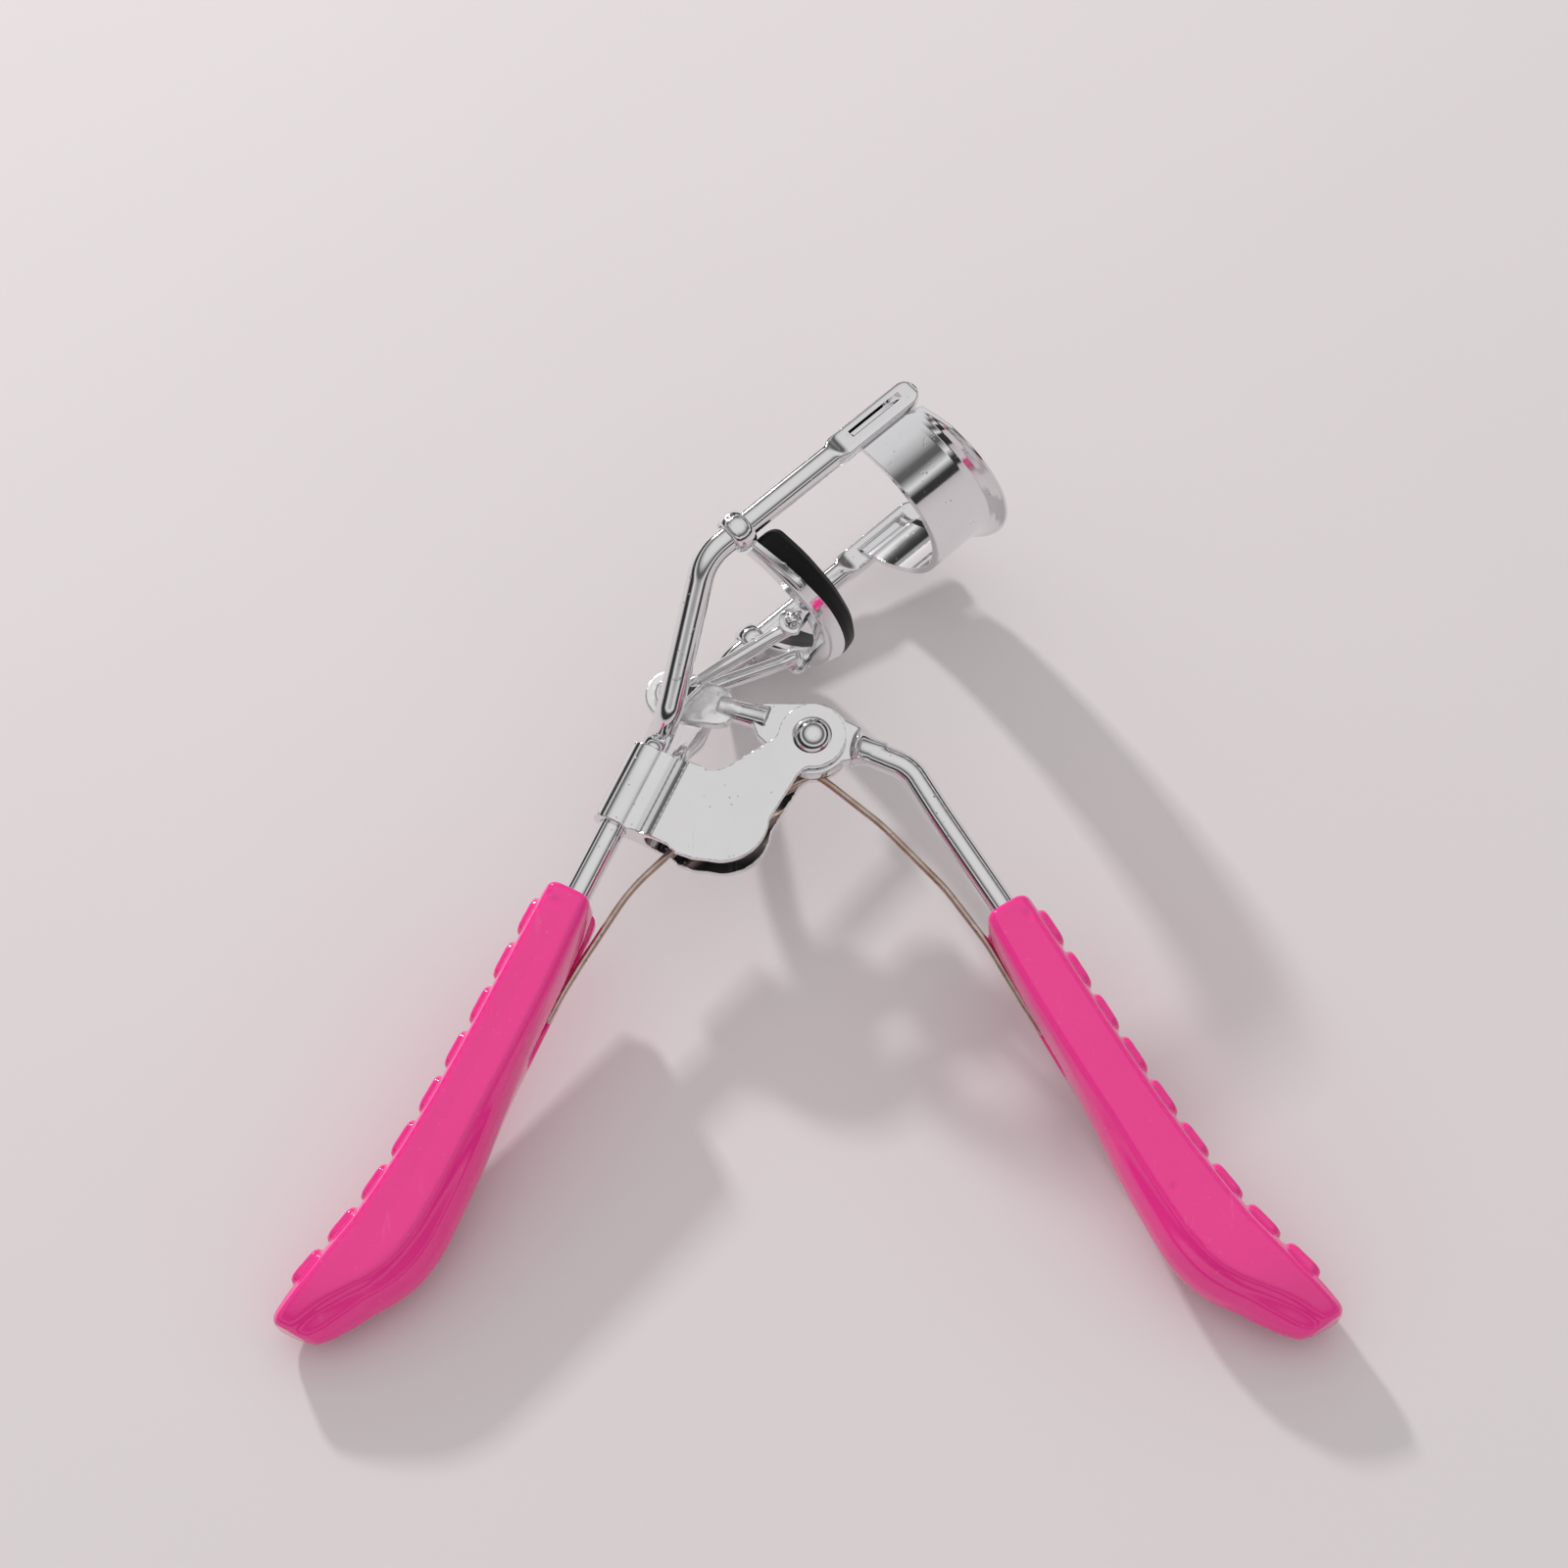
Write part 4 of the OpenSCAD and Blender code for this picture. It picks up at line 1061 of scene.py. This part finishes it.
# the sheet's ends are cut down to tabs, run in along the rails and turned out through the rail slots
def crescent_rings():
    n = len(q)
    m = m_bow(22.3, 10.3)
    v, _ = round_bow(np.eye(4), q, (13.3, 13.3, -2.8), 71, 170, ((0, 0), (5.1, 1.4), (7.2, 1.2)), t, ((0, 1), (0.8, 1), (1, 0.08)))
    bow = [r for r in np.asarray(v)[:-2].reshape(-1, n, 3)]
    # the tab's outline, carried by the same share of the way round as the sheet's
    base = np.asarray(q)
    e = np.column_stack([np.clip(base[:, 0], -t + 0.03, t - 0.03), np.clip(base[:, 1] * 6.45 / 7.2, 0.08, 6.45)])
    top = base[:, 1] > 6.2
    e[top, 0] = np.clip(-0.3 + 0.6 * (base[top, 0] - 0.1) / (fl + t), -0.33, 0.33)

    def ring(p, o, s):
        x = p[0] + e[:, 0] * o[0]
        w = p[1] + e[:, 0] * o[1]
        return np.column_stack([x, s * w, e[:, 1]])

    # round the corner on a small radius about a point outside the bend
    c, r = np.array([0.29, 13.213]), 0.463
    path = [((-0.12, 14.6), (0.62, 0)), ((-0.12, 14.3), (0.66, 0)), ((-0.13, 13.8), (0.68, 0)), ((-0.16, 13.4), (0.85, 0))]
    path += [(c - r * np.array([math.cos(g), math.sin(g)]), (math.cos(g), math.sin(g))) for g in np.radians(np.linspace(0, 90, 8))]
    path += [((0.65, 12.75), (0.05, 0.999)), ((1.05, 12.75), (0.165, 0.986))]
    lap = [ring(p, o, 1) for p, o in path]
    mix = lambda a, b, k: a * (1 - k) + b * k
    join_up = [mix(lap[-1], bow[-1], k) for k in (0.2, 0.45, 0.75)]
    one = lap + join_up
    flip = np.array([1, -1, 1])
    rings = [r * flip for r in one] + bow + one[::-1]
    v, f = shell([put(m, r) for r in rings])
    return v, f


v, f = crescent_rings()
o = new_object("upper_crescent_sheet", v, f, 50)
finish_piece(o, M_CRES, "frame", "polished_metal", "upper_crescent")

JAW_BOW, LEAN, JAW_FOOT = (14.2, 13.2, -3.8), 13, 5.98
w, h = 1.2, 1.7
k = 0.2 * h
q = [(-w, 0.4), (-w + 0.12, 0.1), (-w + 0.4, 0), (w - 0.4, 0), (w - 0.12, 0.1), (w, 0.4), (w + k, h), (w + k - 0.5, h), (w - 0.4, 0.55),
     (0.6 - w, 0.55), (0.5 - w + k, h), (k - w, h)]
q = even(q, 0.22, 0.1, 2)
parts = [round_bow(m_bow(JAW_FOOT, LEAN), q, JAW_BOW, 66.5, 130, warp=channel_warp)]
for s in (-1, 1):
    lug = [tuple(JAW + 1.5 * d2(a)) for a in np.linspace(115, 290, 30)]
    lug += [tuple(on_rail(JAW_FOOT + 0.2) + 8.8 * d2(RAIL - 90 + LEAN)), tuple(on_rail(JAW_FOOT + 1.3) + 8.65 * d2(RAIL - 90 + LEAN))]
    z = 4.7 if s > 0 else -5.3
    parts.append(plate(EYE4, even(lug, 0.25, 0.1, 2), z, z + 0.6, 0.12))
v, f = join(*parts)
o = new_object("jaw_channel_strip", v, f, 50)
finish_piece(o, M_SHEET, "lower_jaw", "polished_metal", "jaw_channel")


def guide_loop(name, s, node):
    m = m_rail(s)
    m2 = frame_of(put(m, [5.3, 0, 0]), m[:3, 2] * -1, m[:3, 1], m[:3, 0])
    ring = [(1.48, 0.3), (1.56, 0.14), (1.72, 0.1), (1.92, 0.24), (2.06, 0.52), (2.16, 0.95), (2.18, 1.3), (2.16, 1.65), (2.06, 2.08), (1.92, 2.36), (1.72, 2.5), (1.56, 2.46), (1.48, 2.3)]
    n = 64
    rings = []
    for i in range(n):
        a = 2 * math.pi * i / n
        rings.append([put(m2, [r * math.cos(a), r * math.sin(a), z]) for r, z in ring])
    rings = np.array(rings)
    c = len(ring)
    v = rings.reshape(-1, 3)
    f = [(i * c + j, i * c + (j + 1) % c, ((i + 1) % n) * c + (j + 1) % c, ((i + 1) % n) * c + j) for i in range(n) for j in range(c)]
    mb = m_bow(JAW_FOOT, LEAN)
    rng = np.random.default_rng(21 if s > 0 else 22)
    rows = []
    for i in range(50):
        a = -68.3 + 26.3 * i / 49
        p, o = bow_pt(JAW_BOW, a), bow_out(JAW_BOW, a)
        torn = 0.16 * math.sin(a * 0.9) + 0.07 * math.sin(a * 2.3 + 1) if i > 20 else 0
        end = 1 if i < 45 else 1 - 0.5 * ((i - 44) / 5) ** 2
        row = []
        for out, up in ((0.03, 0.3), (0.3, 0.3), (0.4, 0.36), (0.45, 0.5), (0.45, 1.25 + torn * 0.6), (0.4, 1.4 + torn * 0.8), (0.3, 1.45 + torn * 0.8), (0.03, 1.45 + torn * 0.8)):
            up = 0.3 + (up - 0.3) * end * (0.4 + 1.3 * wall_share(a)) / 1.7
            c = p + (1.2 + out * (1 if i > 6 else 1.0) + 0.2 * up) * o
            row.append((c[0], c[1] * s, up))
        rows.append(put(mb, row))
    v, f = join((v, f), shell(rows))
    keep = lambda q: (q[:, 1] > -0.9) | (q[:, 0] * s > 0.8)
    snaps = [(tube_surface(m2, 0, 0, 1.48, 0.35, 2.25), 0.06)]

    def shape(p):
        # a small dimple where the strap was spot-joined
        q = local(m2, p)
        a = math.radians(150 if s > 0 else 20)
        c0 = np.array([2.18 * math.cos(a), 2.18 * math.sin(a), 1.3])
        e = np.linalg.norm(q - c0, axis=1)
        q[:, :2] *= (1 - 0.06 * np.exp(-(e / 0.34) ** 2))[:, None]
        return put(m2, q)

    o = welded(name, v, f, 0.075, 3, 0.5, snaps, shape)
    return finish_piece(o, M_CHROME, "lower_jaw", "polished_metal", node)


guide_loop("near_guide_strap", 1, "near_guide_loop")
guide_loop("far_guide_strap", -1, "far_guide_loop")

w, h, k = 1.2 - 0.52, 1.7 - 0.55, 2.5
c = 0.2 * h
q = [(0.12 - w, 0), (w, 0), (w + c, h), (w + c + 0.48, h + 0.02), (w + c + 0.62, h + 0.3 * k), (w + c + 0.4, h + 0.7 * k),
     (w + c - 0.25, h + 0.95 * k), (c, h + k), (c + 0.25 - w, h + 0.95 * k), (c - w - 0.2, h + 0.7 * k),
     (c - w - 0.4, h + 0.3 * k), (c - w - 0.3, h + 0.02), (c - w + 0.14, h)]
q = soften(q, 3, 3)
v, f = round_bow(m_bow(JAW_FOOT + 0.57, LEAN), q, JAW_BOW, 68.4, 150, ((0, 0), (h, 0), (h + k, -0.3)), tips=1.0, mid=(c * 0.6, h + k * 0.35), warp=pad_warp)


def pad_wear(p):
    rng = np.random.default_rng(11)
    return p + 0.02 * np.column_stack([np.sin(p @ rng.normal(0, 0.9, 3) + i) for i in range(3)])


o = new_object("jaw_pad_rubber", pad_wear(v), f, 60)
finish_piece(o, M_BLACK, "lower_jaw", "black_rubber", "jaw_pad")

# ---------------------------------------------------------------- floor, light, camera
fm = bpy.data.meshes.new("floor")
S = 3.0
fm.from_pydata([(-S, -S, 0), (S, -S, 0), (S, S, 0), (-S, S, 0)], [], [(0, 1, 2, 3)])
floor = bpy.data.objects.new("floor", fm)
bpy.context.scene.collection.objects.link(floor)
n = Nodes("floor_paint", (0.68, 0.64, 0.64))
n.set(color=n.mix(n.noise(9, 3), (0.665, 0.628, 0.637), (0.700, 0.662, 0.670)), rough=0.75, spec=0.2,
      normal=n.bump(n.noise(900, 3), 0.04, 0.0001))
floor.data.materials.append(n.mat)


def area_light(name, place, target, size, power, color=(1, 1, 1), size_y=None):
    d = bpy.data.lights.new(name, "AREA")
    d.energy = power
    d.color = color
    d.size = size
    if size_y:
        d.shape = "RECTANGLE"
        d.size_y = size_y
    o = bpy.data.objects.new(name, d)
    bpy.context.scene.collection.objects.link(o)
    o.location = place
    o.rotation_mode = "QUATERNION"
    o.rotation_quaternion = (Vector(target) - Vector(place)).to_track_quat("-Z", "Y")
    return o


area_light("key", (-0.43, 0.73, 0.42), (0, 0, 0.01), 0.065, 5.1, (1.0, 0.985, 0.97))

wd = bpy.data.worlds.new("studio")
bpy.context.scene.world = wd
wd.use_nodes = True
wt = wd.node_tree
wt.nodes.clear()
wo = wt.nodes.new("ShaderNodeOutputWorld")
co = wt.nodes.new("ShaderNodeTexCoord").outputs["Generated"]
sep = wt.nodes.new("ShaderNodeSeparateXYZ")
wt.links.new(co, sep.inputs[0])


def wmath(op, a, b=0.0):
    q = wt.nodes.new("ShaderNodeMath")
    q.operation = op
    for s, v in zip(q.inputs, (a, b)):
        if isinstance(v, bpy.types.NodeSocket):
            wt.links.new(v, s)
        else:
            s.default_value = v
    return q.outputs[0]


ramp = wt.nodes.new("ShaderNodeValToRGB")
e = ramp.color_ramp.elements
stops = [(0.0, 0.42), (0.49, 0.42), (0.505, 0.03), (0.64, 0.04), (0.67, 0.42), (0.70, 0.90), (0.745, 0.42), (0.78, 0.12), (0.82, 0.14), (0.87, 0.50), (0.93, 0.77), (1.0, 0.82)]
while len(e) < len(stops):
    e.new(1)
for i, (pos, c) in enumerate(stops):
    e[i].position = pos
    e[i].color = (c, c * 0.985, c * 0.98, 1)
# height of the direction, nudged round the compass so that the bands aren't level rings
turn = wmath("ADD", wmath("MULTIPLY", sep.outputs[0], 0.06), wmath("MULTIPLY", sep.outputs[1], -0.04))
wt.links.new(wmath("ADD", wmath("ADD", wmath("MULTIPLY", sep.outputs[2], 0.5), 0.5), turn), ramp.inputs[0])
bg1 = wt.nodes.new("ShaderNodeBackground")
wt.links.new(ramp.outputs[0], bg1.inputs[0])
bg1.inputs[1].default_value = 0.95
bg2 = wt.nodes.new("ShaderNodeBackground")
bg2.inputs[0].default_value = (0.72, 0.69, 0.69, 1)
bg2.inputs[1].default_value = 1.0
lp = wt.nodes.new("ShaderNodeLightPath")
bg3 = wt.nodes.new("ShaderNodeBackground")
bg3.inputs[0].default_value = (1.0, 0.975, 0.975, 1)
bg3.inputs[1].default_value = 0.76
md = wt.nodes.new("ShaderNodeMixShader")
wt.links.new(lp.outputs["Is Diffuse Ray"], md.inputs[0])
wt.links.new(bg1.outputs[0], md.inputs[1])
wt.links.new(bg3.outputs[0], md.inputs[2])
ms = wt.nodes.new("ShaderNodeMixShader")
wt.links.new(lp.outputs["Is Camera Ray"], ms.inputs[0])
wt.links.new(md.outputs[0], ms.inputs[1])
wt.links.new(bg2.outputs[0], ms.inputs[2])
wt.links.new(ms.outputs[0], wo.inputs[0])

al, be, dist = math.radians(21.85), math.radians(7.29), 363.93
dvec = np.array([math.sin(al) * math.sin(be), -math.sin(al) * math.cos(be), math.cos(al)])
cam_d = bpy.data.cameras.new("camera")
cam_d.sensor_width = 36
cam_d.sensor_fit = "AUTO"
cam_d.lens = 81.0
cam_d.clip_start, cam_d.clip_end = 0.01, 20
cam = bpy.data.objects.new("camera", cam_d)
bpy.context.scene.collection.objects.link(cam)
z = wvec(dvec)
x = wvec(np.cross([0, 1, 0], dvec)).normalized()
y = z.cross(x)
place = Vector(world(np.array([-3.01, -4.0, 0]) + dist * dvec))
rot = Matrix((x, y, z)).transposed().to_4x4()
cam.matrix_world = Matrix.Translation(place) @ rot
bpy.context.scene.camera = cam

bpy.context.scene.view_settings.view_transform = "Standard"
bpy.context.view_layer.update()
